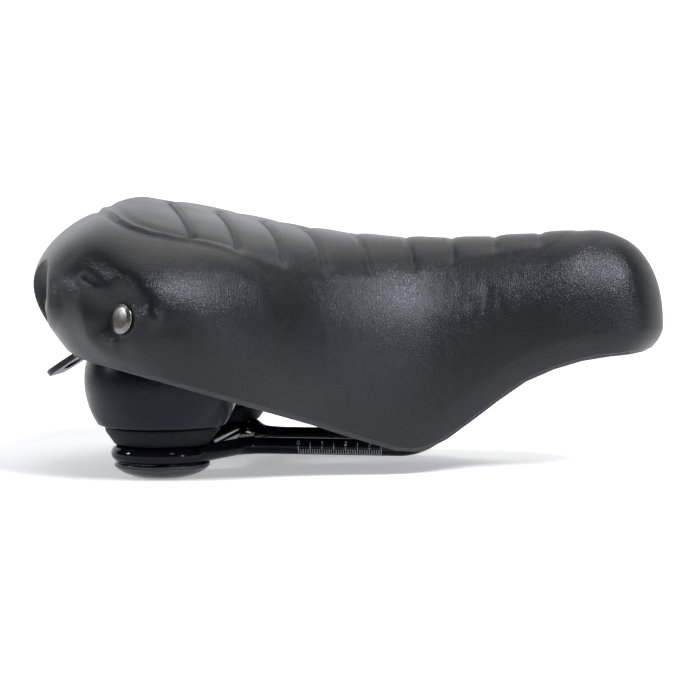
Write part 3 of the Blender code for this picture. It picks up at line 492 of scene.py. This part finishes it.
def turned_piece(name, profile, centre, material, steps=96, axis=(0, 0, 1)):
    """A closed profile of (radius, height) points turned round an axis through centre."""
    rings, on_axis = [], []
    points = []
    frame_turn = Vector(axis).to_track_quat("Z", "Y")
    middle = Vector(centre)
    for radius, height in profile:
        if radius < 1e-7:
            on_axis.append(True)
            rings.append([len(points)] * steps)
            points.append(middle + frame_turn @ Vector((0, 0, height)))
            continue
        on_axis.append(False)
        rings.append(list(range(len(points), len(points) + steps)))
        for step in range(steps):
            angle = math.tau * step / steps
            spoke = Vector((radius * math.cos(angle), radius * math.sin(angle), height))
            points.append(middle + frame_turn @ spoke)
    faces = []
    count = len(rings)
    closes = not (on_axis[0] and on_axis[-1])
    for i in range(count if closes else count - 1):
        upper, lower = rings[i], rings[(i + 1) % count]
        for step in range(steps):
            after = (step + 1) % steps
            corners = [upper[step], lower[step], lower[after], upper[after]]
            face = [c for k, c in enumerate(corners) if c not in corners[:k]]
            if len(face) > 2:
                faces.append(face)
    return new_object(name, mesh_from(name, points, faces), material)


def smooth_path(corners, radii, arc_step):
    """Points along a line through corners, each inner corner rounded to its radius."""
    points = [corners[0]]
    for i, radius in enumerate(radii):
        corner = corners[i + 1]
        back = (corners[i] - corner).normalized()
        ahead = (corners[i + 2] - corner).normalized()
        turn = math.pi - back.angle(ahead)
        setback = radius * math.tan(turn / 2)
        centre = corner + (back + ahead).normalized() * (radius / math.cos(turn / 2))
        start = corner + back * setback - centre
        finish = corner + ahead * setback - centre
        steps = max(4, math.ceil(turn / arc_step))
        for step in range(steps + 1):
            share = step / steps
            spoke = (start * math.sin((1 - share) * turn) + finish * math.sin(share * turn))
            points.append(centre + spoke / math.sin(turn))
    points.append(corners[-1])
    return points


def closed_tube(name, path, radius, material, sides=40):
    """A tube round a closed path, its sections carried along without twist."""
    count = len(path)
    tangents = [(path[(i + 1) % count] - path[i - 1]).normalized() for i in range(count)]
    across = tangents[0].orthogonal().normalized()
    points = []
    for i, point in enumerate(path):
        across = (across - tangents[i] * across.dot(tangents[i])).normalized()
        other = tangents[i].cross(across)
        for side in range(sides):
            angle = math.tau * side / sides
            points.append(point + (across * math.cos(angle) + other * math.sin(angle)) * radius)
    # The frame has turned by some angle at the end: join each section to the nearest one.
    first = points[0] - path[0]
    last_across = points[(count - 1) * sides] - path[-1]
    last_across = (last_across - tangents[0] * last_across.dot(tangents[0])).normalized()
    other = tangents[0].cross(last_across)
    offset = round(math.atan2(first.dot(other), first.dot(last_across)) / math.tau * sides)
    faces = []
    for i in range(count):
        shift = offset if i == count - 1 else 0
        after = ((i + 1) % count) * sides
        for side in range(sides):
            near, far = side, (side + 1) % sides
            faces.append((i * sides + near, i * sides + far,
                          after + (far - shift) % sides, after + (near - shift) % sides))
    return new_object(name, mesh_from(name, points, faces), material)


def fix_normals(piece):
    """The piece with its doubled points merged and its faces turned outwards."""
    shape = bmesh.new()
    shape.from_mesh(piece.data)
    bmesh.ops.remove_doubles(shape, verts=shape.verts, dist=1e-7)
    bmesh.ops.recalc_face_normals(shape, faces=shape.faces)
    shape.to_mesh(piece.data)
    shape.free()
    piece.data.shade_smooth()
    return piece


def rounded_profile(corners, radii):
    """A profile of (radius, height) points with each inner corner rounded."""
    path = smooth_path([Vector((radius, 0.0, height)) for radius, height in corners], radii,
                       PROFILE_ARC_STEP)
    return [(point.x, point.z) for point in path]


# Materials

def material_of(name, color, roughness, metallic=0.0):
    material = bpy.data.materials.new(name)
    material.use_nodes = True
    shader = material.node_tree.nodes["Principled BSDF"]
    shader.inputs["Base Color"].default_value = (*color, 1.0)
    shader.inputs["Roughness"].default_value = roughness
    shader.inputs["Metallic"].default_value = metallic
    return material, material.node_tree, shader


def node(tree, kind, inputs=None, **settings):
    """A new node with its settings, each input linked to a socket or given a value."""
    made = tree.nodes.new(kind)
    for key, value in settings.items():
        setattr(made, key, value)
    for key, value in (inputs or {}).items():
        if isinstance(value, bpy.types.NodeSocket):
            tree.links.new(value, made.inputs[key])
        else:
            made.inputs[key].default_value = value
    return made


def object_place(tree):
    return node(tree, "ShaderNodeTexCoord").outputs["Object"]


def noise_node(tree, place, scale, detail=3.0, roughness=0.5, distortion=0.0):
    made = node(tree, "ShaderNodeTexNoise", {
        "Vector": place, "Scale": scale, "Detail": detail, "Roughness": roughness,
        "Distortion": distortion})
    return made.outputs["Fac"]


def cells_node(tree, place, scale):
    """The distance to the nearest edge between cells."""
    made = node(tree, "ShaderNodeTexVoronoi", {"Vector": place, "Scale": scale},
                feature="DISTANCE_TO_EDGE")
    return made.outputs["Distance"]


def ranged(tree, value, low, high, from_low=0.0, from_high=1.0):
    """The value carried from one range to another."""
    made = node(tree, "ShaderNodeMapRange", {
        "Value": value, "From Min": from_low, "From Max": from_high,
        "To Min": low, "To Max": high})
    return made.outputs["Result"]


def summed(tree, first, second, weight):
    """The first value plus the second times the weight."""
    made = node(tree, "ShaderNodeMath", {0: second, 1: weight, 2: first},
                operation="MULTIPLY_ADD")
    return made.outputs[0]


def colors_between(tree, value, dark, light):
    made = node(tree, "ShaderNodeMix", {"Factor": value}, data_type="RGBA")
    made.inputs["A"].default_value = (*dark, 1.0)
    made.inputs["B"].default_value = (*light, 1.0)
    return made.outputs["Result"]


def bumped(tree, shader, height, strength, distance):
    bump = node(tree, "ShaderNodeBump", {"Height": height, "Strength": strength,
                                         "Distance": distance})
    tree.links.new(bump.outputs["Normal"], shader.inputs["Normal"])


def textured(name, dark, light, roughness, spread, grain, bump, specular=0.5):
    """A finish whose colour, roughness and fine relief vary with two sizes of noise.

    The grain is the finer noise's scale, and the bump is its height in metres.
    """
    material, tree, shader = material_of(name, dark, roughness)
    place = object_place(tree)
    clouds = noise_node(tree, place, scale=60.0, detail=4.0, roughness=0.6)
    grains = noise_node(tree, place, scale=grain, detail=3.0, roughness=0.6)
    both = summed(tree, clouds, grains, 0.5)
    lowest, highest = 0.45, 1.05
    share = ranged(tree, both, 0.0, 1.0, lowest, highest)
    tree.links.new(colors_between(tree, share, dark, light), shader.inputs["Base Color"])
    rough = ranged(tree, both, roughness - spread, roughness + spread, lowest, highest)
    tree.links.new(rough, shader.inputs["Roughness"])
    bumped(tree, shader, grains, strength=1.0, distance=bump)
    shader.inputs["Specular IOR Level"].default_value = specular
    return material


def leather_material():
    """Black coated leather: pebble grain, pores, patches of fine creases and soft shine."""
    material, tree, shader = material_of("saddle_leather", (0.02, 0.02, 0.022), 0.5)
    place = object_place(tree)
    wander = noise_node(tree, place, scale=380.0, detail=2.0)
    shifted = node(tree, "ShaderNodeVectorMath", {0: place, 1: (0, 0, 0)}, operation="ADD")
    spread = node(tree, "ShaderNodeCombineXYZ", {
        "X": ranged(tree, wander, -0.0006, 0.0006), "Y": ranged(tree, wander, 0.0006, -0.0006),
        "Z": ranged(tree, wander, -0.0004, 0.0005)})
    tree.links.new(spread.outputs["Vector"], shifted.inputs[1])
    grain_place = shifted.outputs[0]
    pebbles = ranged(tree, cells_node(tree, grain_place, scale=1150.0), 0.0, 1.0, 0.0, 0.22)
    pores = noise_node(tree, place, scale=2600.0, detail=2.0)
    broad = noise_node(tree, place, scale=24.0, detail=3.0, roughness=0.6)
    patches = ranged(tree, broad, 0.0, 1.0, 0.5, 0.68)
    wave_place = node(tree, "ShaderNodeMapping", {
        "Vector": place, "Rotation": (0.0, math.radians(12.0), 0.0),
        "Scale": (420.0, 60.0, 130.0)})
    creases = noise_node(tree, wave_place.outputs["Vector"], scale=1.0, detail=3.0,
                         roughness=0.55, distortion=0.6)
    crease_height = node(tree, "ShaderNodeMath", {0: creases, 1: patches},
                         operation="MULTIPLY").outputs[0]
    height = summed(tree, ranged(tree, pebbles, 0.0, 0.5), pores, weight=0.25)
    height = summed(tree, height, crease_height, weight=1.6)
    bumped(tree, shader, height, strength=1.0, distance=0.00009)
    clouds = noise_node(tree, place, scale=9.0, detail=4.0, roughness=0.6)
    tone = summed(tree, clouds, pebbles, weight=0.12)
    tree.links.new(colors_between(tree, ranged(tree, tone, 0.0, 1.0, 0.3, 0.85),
                                  (0.0038, 0.0039, 0.0047), (0.0078, 0.0078, 0.0088)),
                   shader.inputs["Base Color"])
    rough = summed(tree, ranged(tree, clouds, 0.28, 0.36, 0.3, 0.7), patches, weight=0.05)
    tree.links.new(rough, shader.inputs["Roughness"])
    shader.inputs["Specular IOR Level"].default_value = 0.25
    shader.inputs["Sheen Weight"].default_value = 0.04
    shader.inputs["Sheen Roughness"].default_value = 0.45
    return material


def foam_material():
    material, tree, shader = material_of("open_cell_foam", (0.42, 0.38, 0.28), 0.95)
    place = object_place(tree)
    cells = cells_node(tree, place, scale=900.0)
    clouds = noise_node(tree, place, scale=40.0, detail=3.0)
    tone = summed(tree, clouds, cells, weight=0.8)
    tree.links.new(colors_between(tree, tone, (0.26, 0.23, 0.16), (0.50, 0.46, 0.35)),
                   shader.inputs["Base Color"])
    bumped(tree, shader, cells, strength=1.0, distance=0.0008)
    return material


def brushed_metal(name, dark, light, roughness, stretch):
    """Metal with fine marks drawn out along one direction."""
    material, tree, shader = material_of(name, light, roughness, 1.0)
    place = object_place(tree)
    drawn = node(tree, "ShaderNodeMapping", {"Vector": place, "Scale": stretch})
    lines = noise_node(tree, drawn.outputs["Vector"], scale=1.0, detail=4.0, roughness=0.65)
    clouds = noise_node(tree, place, scale=160.0, detail=3.0)
    tone = summed(tree, clouds, lines, weight=0.5)
    lowest, highest = 0.4, 1.1
    share = ranged(tree, tone, 0.0, 1.0, lowest, highest)
    tree.links.new(colors_between(tree, share, dark, light), shader.inputs["Base Color"])
    rough = ranged(tree, tone, roughness - 0.08, roughness + 0.10, lowest, highest)
    tree.links.new(rough, shader.inputs["Roughness"])
    bumped(tree, shader, lines, strength=0.6, distance=0.00002)
    return material


LEATHER = leather_material()
FOAM = foam_material()
GLOSS_BLACK = textured(
    "gloss_black_paint", dark=(0.0022, 0.0025, 0.0045), light=(0.004, 0.0045, 0.008),
    roughness=0.10, spread=0.03, grain=900.0, bump=0.00001, specular=0.12)
CAP_BLACK = textured(
    "gloss_cap_plastic", dark=(0.003, 0.004, 0.004), light=(0.006, 0.007, 0.0075),
    roughness=0.20, spread=0.05, grain=700.0, bump=0.00002, specular=0.35)
ELASTOMER = textured(
    "satin_elastomer", dark=(0.0010, 0.0020, 0.0046), light=(0.0022, 0.0038, 0.0078),
    roughness=0.28, spread=0.03, grain=1100.0, bump=0.00003, specular=0.15)
CUP_PLASTIC = textured(
    "matte_cup_plastic", dark=(0.0014, 0.0020, 0.0034), light=(0.0028, 0.0036, 0.0056),
    roughness=0.50, spread=0.05, grain=1500.0, bump=0.00004, specular=0.12)
SHELL_PLASTIC = textured(
    "moulded_shell_plastic", dark=(0.009, 0.009, 0.0095), light=(0.017, 0.017, 0.018),
    roughness=0.55, spread=0.08, grain=1300.0, bump=0.00006)
TAB_PAINT = textured(
    "satin_tab_paint", dark=(0.004, 0.004, 0.0045), light=(0.008, 0.008, 0.009),
    roughness=0.36, spread=0.07, grain=1200.0, bump=0.00003, specular=0.4)
BUSH_RUBBER = textured(
    "bush_rubber", dark=(0.010, 0.010, 0.010), light=(0.018, 0.018, 0.017),
    roughness=0.75, spread=0.08, grain=900.0, bump=0.00005)
SCALE_PAINT = textured(
    "pale_scale_print", dark=(0.30, 0.31, 0.34), light=(0.42, 0.43, 0.46),
    roughness=0.5, spread=0.1, grain=2400.0, bump=0.00001)
NICKEL = brushed_metal(
    "worn_nickel", dark=(0.10, 0.092, 0.080), light=(0.27, 0.255, 0.23),
    roughness=0.27, stretch=(900.0, 900.0, 5200.0))
ZINC = brushed_metal(
    "zinc_plate", dark=(0.36, 0.37, 0.40), light=(0.62, 0.63, 0.65),
    roughness=0.36, stretch=(700.0, 2400.0, 2400.0))


# Seat pieces

def fine_stations(steps):
    """Fractional stations from tail to nose, with this many steps between two of them."""
    last = len(STATIONS) - 1
    return np.linspace(0, last, last * steps + 1)


def closed_on_middle(grid):
    """The grid with its two end stations and its two edges laid on the middle plane."""
    grid[0, :, 1] = 0.0
    grid[-1, :, 1] = 0.0
    grid[:, 0, 1] = 0.0
    grid[:, -1, 1] = 0.0
    return grid


def skin_faces(stations, rows):
    """Quads over a grid of points."""
    faces = []
    for i in range(stations - 1):
        for j in range(rows - 1):
            corner = i * rows + j
            faces.append((corner, corner + rows, corner + rows + 1, corner + 1))
    return faces


def both_halves(name, grid, material):
    """A piece made of a left half and its mirror image, welded along the middle plane."""
    faces = skin_faces(*grid.shape[:2])
    points = grid.reshape(-1, 3)
    count = len(points)
    mirrored = points * (1, -1, 1)
    all_faces = faces + [tuple(count + index for index in reversed(face)) for face in faces]
    piece = new_object(name, mesh_from(name, np.concatenate((points, mirrored)), all_faces),
                       material)
    return fix_normals(piece)


def cover_grid(stations, rows):
    """Outside and inside of the cover, joined round the hem by a half round of points."""
    outer, normals = sculpted(stations, rows)
    inner = outer - normals * COVER_THICKNESS
    edge, edge_normals = outer[:, -1], normals[:, -1]
    down = edge - outer[:, -2]
    down /= np.linalg.norm(down, axis=-1, keepdims=True)
    middle = edge - edge_normals * COVER_THICKNESS / 2
    turns = [math.radians(degrees) for degrees in range(30, 180, 30)]
    hem = [middle + (edge_normals * math.cos(turn) + down * math.sin(turn)) * COVER_THICKNESS / 2
           for turn in turns]
    whole = np.concatenate((outer, np.stack(hem, axis=1), inner[:, ::-1]), axis=1)
    return closed_on_middle(whole)


def build_cover():
    grid = cover_grid(fine_stations(COVER_STEPS), np.linspace(0, 1, COVER_ROWS))
    cover = both_halves("seat_cover", grid, LEATHER)
    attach(cover, "seat")
    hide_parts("cover")


def build_foam():
    stations = fine_stations(FOAM_STEPS)
    rows = np.linspace(0, 1, FOAM_ROWS)
    outer, normals = sculpted(stations, rows, FOAM_STUD_ROOM)
    outer = outer - normals * (COVER_THICKNESS + FOAM_GAP)
    under = seat_surface(stations, rows, layer=1.0)
    # Where a stud's hollow is deeper than the foam, the foam thins to a sheet behind it.
    depth = ((outer - under) * normals).sum(axis=-1, keepdims=True)
    under = np.where(depth > FOAM_LEAST, outer + (under - outer) * FOAM_SHARE,
                     outer - normals * FOAM_LEAST)
    grid = closed_on_middle(np.concatenate((outer, under[:, ::-1]), axis=1))
    foam = both_halves("foam_core", grid, FOAM)
    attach(foam, "seat")
    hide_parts("foam_pad")


# Studs

def build_studs():
    head = rounded_profile(
        [(0.0, STUD_HEAD_HEIGHT), (0.0042, 0.00150), (0.0053, 0.00105), (0.0059, 0.00085),
         (STUD_HEAD_RADIUS, 0.00045), (0.0058, 0.0), (STUD_SHANK_RADIUS, 0.0),
         (STUD_SHANK_RADIUS, STUD_SHANK_END), (0.0, STUD_SHANK_END)],
        [0.004, 0.0004, 0.0003, 0.0002, 0.0001, 0.0001, 0.0002])
    for place_name, stud_place in STUDS.items():
        seat, axis = stud_frame(*stud_place)
        for side, sign in SIDES:
            centre = (seat.x, sign * seat.y, seat.z)
            facing = (axis.x, sign * axis.y, axis.z)
            stud = turned_piece(f"{place_name}_stud_{side}", head, centre, NICKEL, 64, facing)
            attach(fix_normals(stud), "seat")
            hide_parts(f"stud_{place_name}_{side}")


# Balls, cups and caps

def arc_points(radius, centre_z, start_z, end_z, steps):
    """Points on a ball's outline between two heights."""
    start = math.asin((start_z - centre_z) / radius)
    end = math.asin((end_z - centre_z) / radius)
    turns = [start + (end - start) * i / steps for i in range(steps + 1)]
    return [(radius * math.cos(turn), centre_z + radius * math.sin(turn)) for turn in turns]


def stand_piece(name, profile, material, replaced, side, sign):
    """A turned piece of the stand under one side of the seat."""
    piece = turned_piece(f"{name}_{side}", profile, (BALL_X, sign * BALL_Y, 0.0), material)
    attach(fix_normals(piece), "rails")
    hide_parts(f"{replaced}_{side}")
    return piece


def build_balls():
    ball = arc_points(BALL_RADIUS, BALL_CENTRE, BALL_TOP - 0.0006, BALL_FLOOR + 0.0005, 60)
    ball_profile = ([(BALL_BORE_RADIUS, BALL_TOP), (BALL_HEAD_RADIUS, BALL_TOP)] + ball
                    + [(BALL_FOOT_RADIUS, BALL_FLOOR), (BALL_BORE_RADIUS, BALL_FLOOR)])
    cup_profile = rounded_profile(
        [(BOLT_HOLE_RADIUS, CUP_TOP), (CUP_TOP_RADIUS, CUP_TOP),
         (CUP_TOP_RADIUS - 0.0003, CUP_RIM), (CUP_FOOT_RADIUS, CUP_FOOT),
         (CUP_SPIGOT_RADIUS, CUP_FOOT), (CUP_SPIGOT_RADIUS, CUP_SPIGOT_END),
         (BOLT_HOLE_RADIUS, CUP_SPIGOT_END)],
        [0.0007, 0.0030, 0.0008, 0.0003, 0.0003])
    cap_profile = rounded_profile(
        [(BOLT_HOLE_RADIUS, CAP_TOP), (CAP_RADIUS, CAP_TOP), (CAP_RADIUS, CAP_EDGE),
         (0.0172, -0.0078), (0.0105, CAP_FOOT), (BOLT_RECESS_RADIUS, CAP_FOOT),
         (BOLT_RECESS_RADIUS, BOLT_RECESS_TOP), (BOLT_HOLE_RADIUS, BOLT_RECESS_TOP)],
        [0.0005, 0.0008, 0.0120, 0.0120, 0.0005, 0.0002])
    for side, sign in SIDES:
        piece = stand_piece("ball", ball_profile, ELASTOMER, "elastomer", side, sign)
        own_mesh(piece)
        stand_piece("cup", cup_profile, CUP_PLASTIC, "lower_cup", side, sign)
        stand_piece("cap", cap_profile, CAP_BLACK, "ring_cap", side, sign)


# Rails and their printed scale

def rail_half_points():
    """The left half of the rod's centre line, from the nose bar to the crossbar."""
    nose_z = float(crown_height(NOSE_BAR_X)) - TOP_FOAM - NOSE_BAR_DROP
    ring = Vector((BALL_X, BALL_Y, 0.0))
    rear_bend = Vector((CLAMP_REAR_X, RAIL_Y, 0.0))
    to_bend = rear_bend - ring
    first_angle = math.atan2(to_bend.y, to_bend.x) + math.acos(RING_RADIUS / to_bend.length)
    last_angle = 1.5 * math.pi

    def on_ring(angle):
        return ring + RING_RADIUS * Vector((math.cos(angle), math.sin(angle), 0.0))

    upper_share = UPPER_BEND_SETBACK / (NOSE_BAR_X - CLAMP_FRONT_X)
    upper = Vector((NOSE_BAR_X - UPPER_BEND_SETBACK,
                    NOSE_RAIL_Y + (RAIL_Y - NOSE_RAIL_Y) * upper_share,
                    nose_z - UPPER_BEND_DROP))
    rail = smooth_path(
        [Vector((NOSE_BAR_X, 0.0, nose_z)), Vector((NOSE_BAR_X, NOSE_RAIL_Y, nose_z)), upper,
         Vector((CLAMP_FRONT_X, RAIL_Y, 0.0)), rear_bend, on_ring(first_angle)],
        [NOSE_BEND_RADIUS, UPPER_BEND_RADIUS, FRONT_BEND_RADIUS, REAR_BEND_RADIUS],
        RAIL_ARC_STEP)
    steps = math.ceil((last_angle - first_angle) / RAIL_ARC_STEP)
    around = [on_ring(first_angle + (last_angle - first_angle) * i / steps)
              for i in range(1, steps)]
    inner = on_ring(last_angle)
    crossbar = smooth_path([inner, Vector((CROSSBAR_X, inner.y, 0.0)),
                            Vector((CROSSBAR_X, 0.0, 0.0))],
                           [CROSSBAR_BEND_RADIUS], RAIL_ARC_STEP)
    return rail + around + crossbar


def build_rails():
    left = rail_half_points()
    right = [Vector((point.x, -point.y, point.z)) for point in reversed(left[1:-1])]
    rails = closed_tube("smooth_rails", left[1:-1] + right, RAIL_RADIUS, GLOSS_BLACK)
    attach(fix_normals(rails), "rails")
    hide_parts("rail_frame")


# Where the scale starts along the rail, its number of ticks and how far it stands out and
# is set in, then the heights of its strokes round the rod
SCALE_START = -0.0172
SCALE_COUNT = 36
SCALE_RELIEF = 0.00004
SCALE_SET_IN = 0.00005
SCALE_FOOT = -0.0030
TICK_TOP = -0.0009
FIVE_TICK_TOP = 0.0022
TEN_TICK_TOP = 0.0003
DIGIT_FOOT = 0.0009
DIGIT_HEIGHT = 0.0018
DIGIT_WIDTH = 0.0014

# Outlines of the digits 0 to 3, in shares of their width and height
DIGITS = [
    [(.35 * math.sin(turn), .5 - .5 * math.cos(turn))
     for turn in (math.tau * i / 12 for i in range(13))],
    [(-.18, .78), (.06, 1), (.06, 0)],
    [(-.32, .75), (-.22, .93), (0, 1), (.25, .92), (.32, .72), (.2, .48), (-.32, 0), (.34, 0)],
    [(-.3, .9), (0, 1), (.27, .9), (.28, .65), (.02, .54), (.3, .42), (.3, .14), (0, 0),
     (-.32, .12)],
]


def stroke_faces(line, width, points, faces, place):
    """A thin raised strip along a line of (x, height) points, laid round the rod."""
    for (start_x, start_h), (end_x, end_h) in zip(line, line[1:]):
        length = math.hypot(end_x - start_x, end_h - start_h)
        side_x, side_h = (-(end_h - start_h) / length * width / 2,
                          (end_x - start_x) / length * width / 2)
        steps = max(1, math.ceil(length / 0.0005))
        first = len(points)
        for step in range(steps + 1):
            share = step / steps
            x = start_x + (end_x - start_x) * share
            height = start_h + (end_h - start_h) * share
            for lift in (-SCALE_SET_IN, SCALE_RELIEF):
                points.append(place(x + side_x, height + side_h, lift))
                points.append(place(x - side_x, height - side_h, lift))
        for step in range(steps):
            base = first + step * 4
            for near, far in ((0, 1), (1, 3), (3, 2), (2, 0)):
                faces.append((base + near, base + far, base + 4 + far, base + 4 + near))
        last = first + steps * 4
        faces.append((first, first + 2, first + 3, first + 1))
        faces.append((last, last + 1, last + 3, last + 2))


def build_scale(side, sign):
    """Millimetre ticks with centimetre numbers along the outer side of a rail."""
    points, faces = [], []

    def place(x, height, lift):
        angle = height / RAIL_RADIUS
        reach = RAIL_RADIUS + lift
        return (x, sign * (RAIL_Y + reach * math.cos(angle)), reach * math.sin(angle))

    for index in range(SCALE_COUNT):
        x = SCALE_START + index * MM
        top = {0: TEN_TICK_TOP, 5: FIVE_TICK_TOP}.get(index % 10, TICK_TOP)
        stroke_faces([(x, SCALE_FOOT), (x, top)], 0.00022, points, faces, place)
    end_x = SCALE_START + (SCALE_COUNT - 1) * MM
    stroke_faces([(SCALE_START, SCALE_FOOT), (end_x, SCALE_FOOT)], 0.00020, points, faces, place)
    for number, outline in enumerate(DIGITS):
        x = SCALE_START + number * 10 * MM
        line = [(x - sign * across * DIGIT_WIDTH, DIGIT_FOOT + up * DIGIT_HEIGHT)
                for across, up in outline]
        stroke_faces(line, 0.00024, points, faces, place)
    scale = new_object(f"rail_scale_{side}", mesh_from("rail_scale", points, faces), SCALE_PAINT,
                       smooth=False)
    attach(scale, "rails")


# CAD nodes that stay

NODE_FINISHES = {
    "base_shell": SHELL_PLASTIC, "nose_clamp": SHELL_PLASTIC, "nose_bush": BUSH_RUBBER,
    "accessory_tab": TAB_PAINT,
}
ZINC_NODES = ("tab_screw", "nose_screw", "top_", "lower_bolt", "lower_insert", "stud_nut")


def dress_nodes():
    """Better finishes for the CAD nodes that stay, and softer edges on the tab."""
    for name in NODES:
        finish = ZINC if name.startswith(ZINC_NODES) else NODE_FINISHES.get(name)
        if finish is not None:
            materials = bpy.data.objects[name].data.materials
            materials.clear()
            materials.append(finish)
    bevel = bpy.data.objects["accessory_tab"].modifiers.new("softened_edges", "BEVEL")
    bevel.width = 0.0004
    bevel.segments = 3
    bevel.limit_method = "ANGLE"
    bevel.harden_normals = True


# Stage, lights and camera

def build_stage():
    """A pale floor that curves up behind the object."""
    floor_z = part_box("ring_cap_right")[0][2] - 0.0001
    run = [(-FLOOR_REACH, 0.0), (FLOOR_BEND_Y, 0.0)]
    run += [(FLOOR_BEND_Y + FLOOR_BEND_RADIUS * math.sin(turn),
             FLOOR_BEND_RADIUS - FLOOR_BEND_RADIUS * math.cos(turn))
            for turn in (math.radians(step * 7.5) for step in range(1, 13))]
    run.append((FLOOR_BEND_Y + FLOOR_BEND_RADIUS, BACKDROP_HEIGHT))
    points = [(x, y, floor_z + z) for y, z in run for x in (-FLOOR_REACH, FLOOR_REACH)]
    faces = [(2 * i, 2 * i + 1, 2 * i + 3, 2 * i + 2) for i in range(len(run) - 1)]
    material, tree, shader = material_of("pale_floor", (0.93, 0.93, 0.93), 0.9)
    place = object_place(tree)
    tone = noise_node(tree, place, scale=3.0, detail=2.0)
    tree.links.new(colors_between(tree, tone, (0.92, 0.92, 0.92), (0.94, 0.94, 0.94)),
                   shader.inputs["Base Color"])
    shader.inputs["Specular IOR Level"].default_value = 0.0
    shader.inputs["Emission Color"].default_value = (1.0, 1.0, 1.0, 1.0)
    far = node(tree, "ShaderNodeSeparateXYZ", {"Vector": place}).outputs["Y"]
    glow = ranged(tree, far, FLOOR_GLOW, BACKDROP_GLOW, from_low=0.25, from_high=FLOOR_BEND_Y)
    tree.links.new(glow, shader.inputs["Emission Strength"])
    floor = new_object("floor", mesh_from("floor", points, faces), material)


def area_light(name, place, target, size, watts, color):
    """A soft rectangular lamp that the camera doesn't see."""
    light = bpy.data.lights.new(name, "AREA")
    light.shape = "RECTANGLE"
    light.size, light.size_y = size
    light.energy = watts
    light.color = color
    light.spread = LIGHT_SPREAD
    lamp = bpy.data.objects.new(name, light)
    lamp.location = place
    lamp.visible_camera = False
    lamp.rotation_euler = (Vector(place) - Vector(target)).to_track_quat("Z", "Y").to_euler()
    bpy.context.scene.collection.objects.link(lamp)


def build_lights():
    world = bpy.data.worlds.new("studio")
    world.use_nodes = True
    background = world.node_tree.nodes["Background"]
    background.inputs["Color"].default_value = (0.90, 0.94, 1.0, 1.0)
    background.inputs["Strength"].default_value = 0.05
    bpy.context.scene.world = world
    bpy.context.scene.view_settings.view_transform = "Standard"
    middle = (0.0, 0.0, 0.05)
    area_light("overhead", (0.0, 0.45, 1.30), middle, size=(1.2, 0.9), watts=1.25,
               color=(1.0, 0.985, 0.96))
    area_light("key", (0.54, -0.56, 0.92), middle, size=(0.42, 0.42), watts=2.8,
               color=(0.84, 0.91, 1.0))
    area_light("right_strip", (0.95, -0.64, 0.18), middle, size=(0.12, 0.24), watts=0.30,
               color=(0.80, 0.90, 1.0))
    area_light("left_strip", (-1.02, -0.34, 0.42), middle, size=(0.12, 0.24), watts=0.50,
               color=(0.84, 0.92, 1.0))


def build_camera():
    camera = bpy.data.cameras.new("camera")
    camera.sensor_width = 36.0
    camera.lens = CAMERA_LENS
    camera.clip_start = 0.05
    view = bpy.data.objects.new("camera", camera)
    back = Vector((math.sin(CAMERA_AZIMUTH) * math.cos(CAMERA_ELEVATION),
                   -math.cos(CAMERA_AZIMUTH) * math.cos(CAMERA_ELEVATION),
                   math.sin(CAMERA_ELEVATION)))
    view.location = Vector(CAMERA_TARGET) + back * CAMERA_DISTANCE
    view.rotation_euler = back.to_track_quat("Z", "Y").to_euler()
    bpy.context.scene.collection.objects.link(view)
    bpy.context.scene.camera = view


build_camera()
build_cover()
build_foam()
build_studs()
build_balls()
build_rails()
for side_name, side_sign in SIDES:
    build_scale(side_name, side_sign)
dress_nodes()
build_stage()
build_lights()
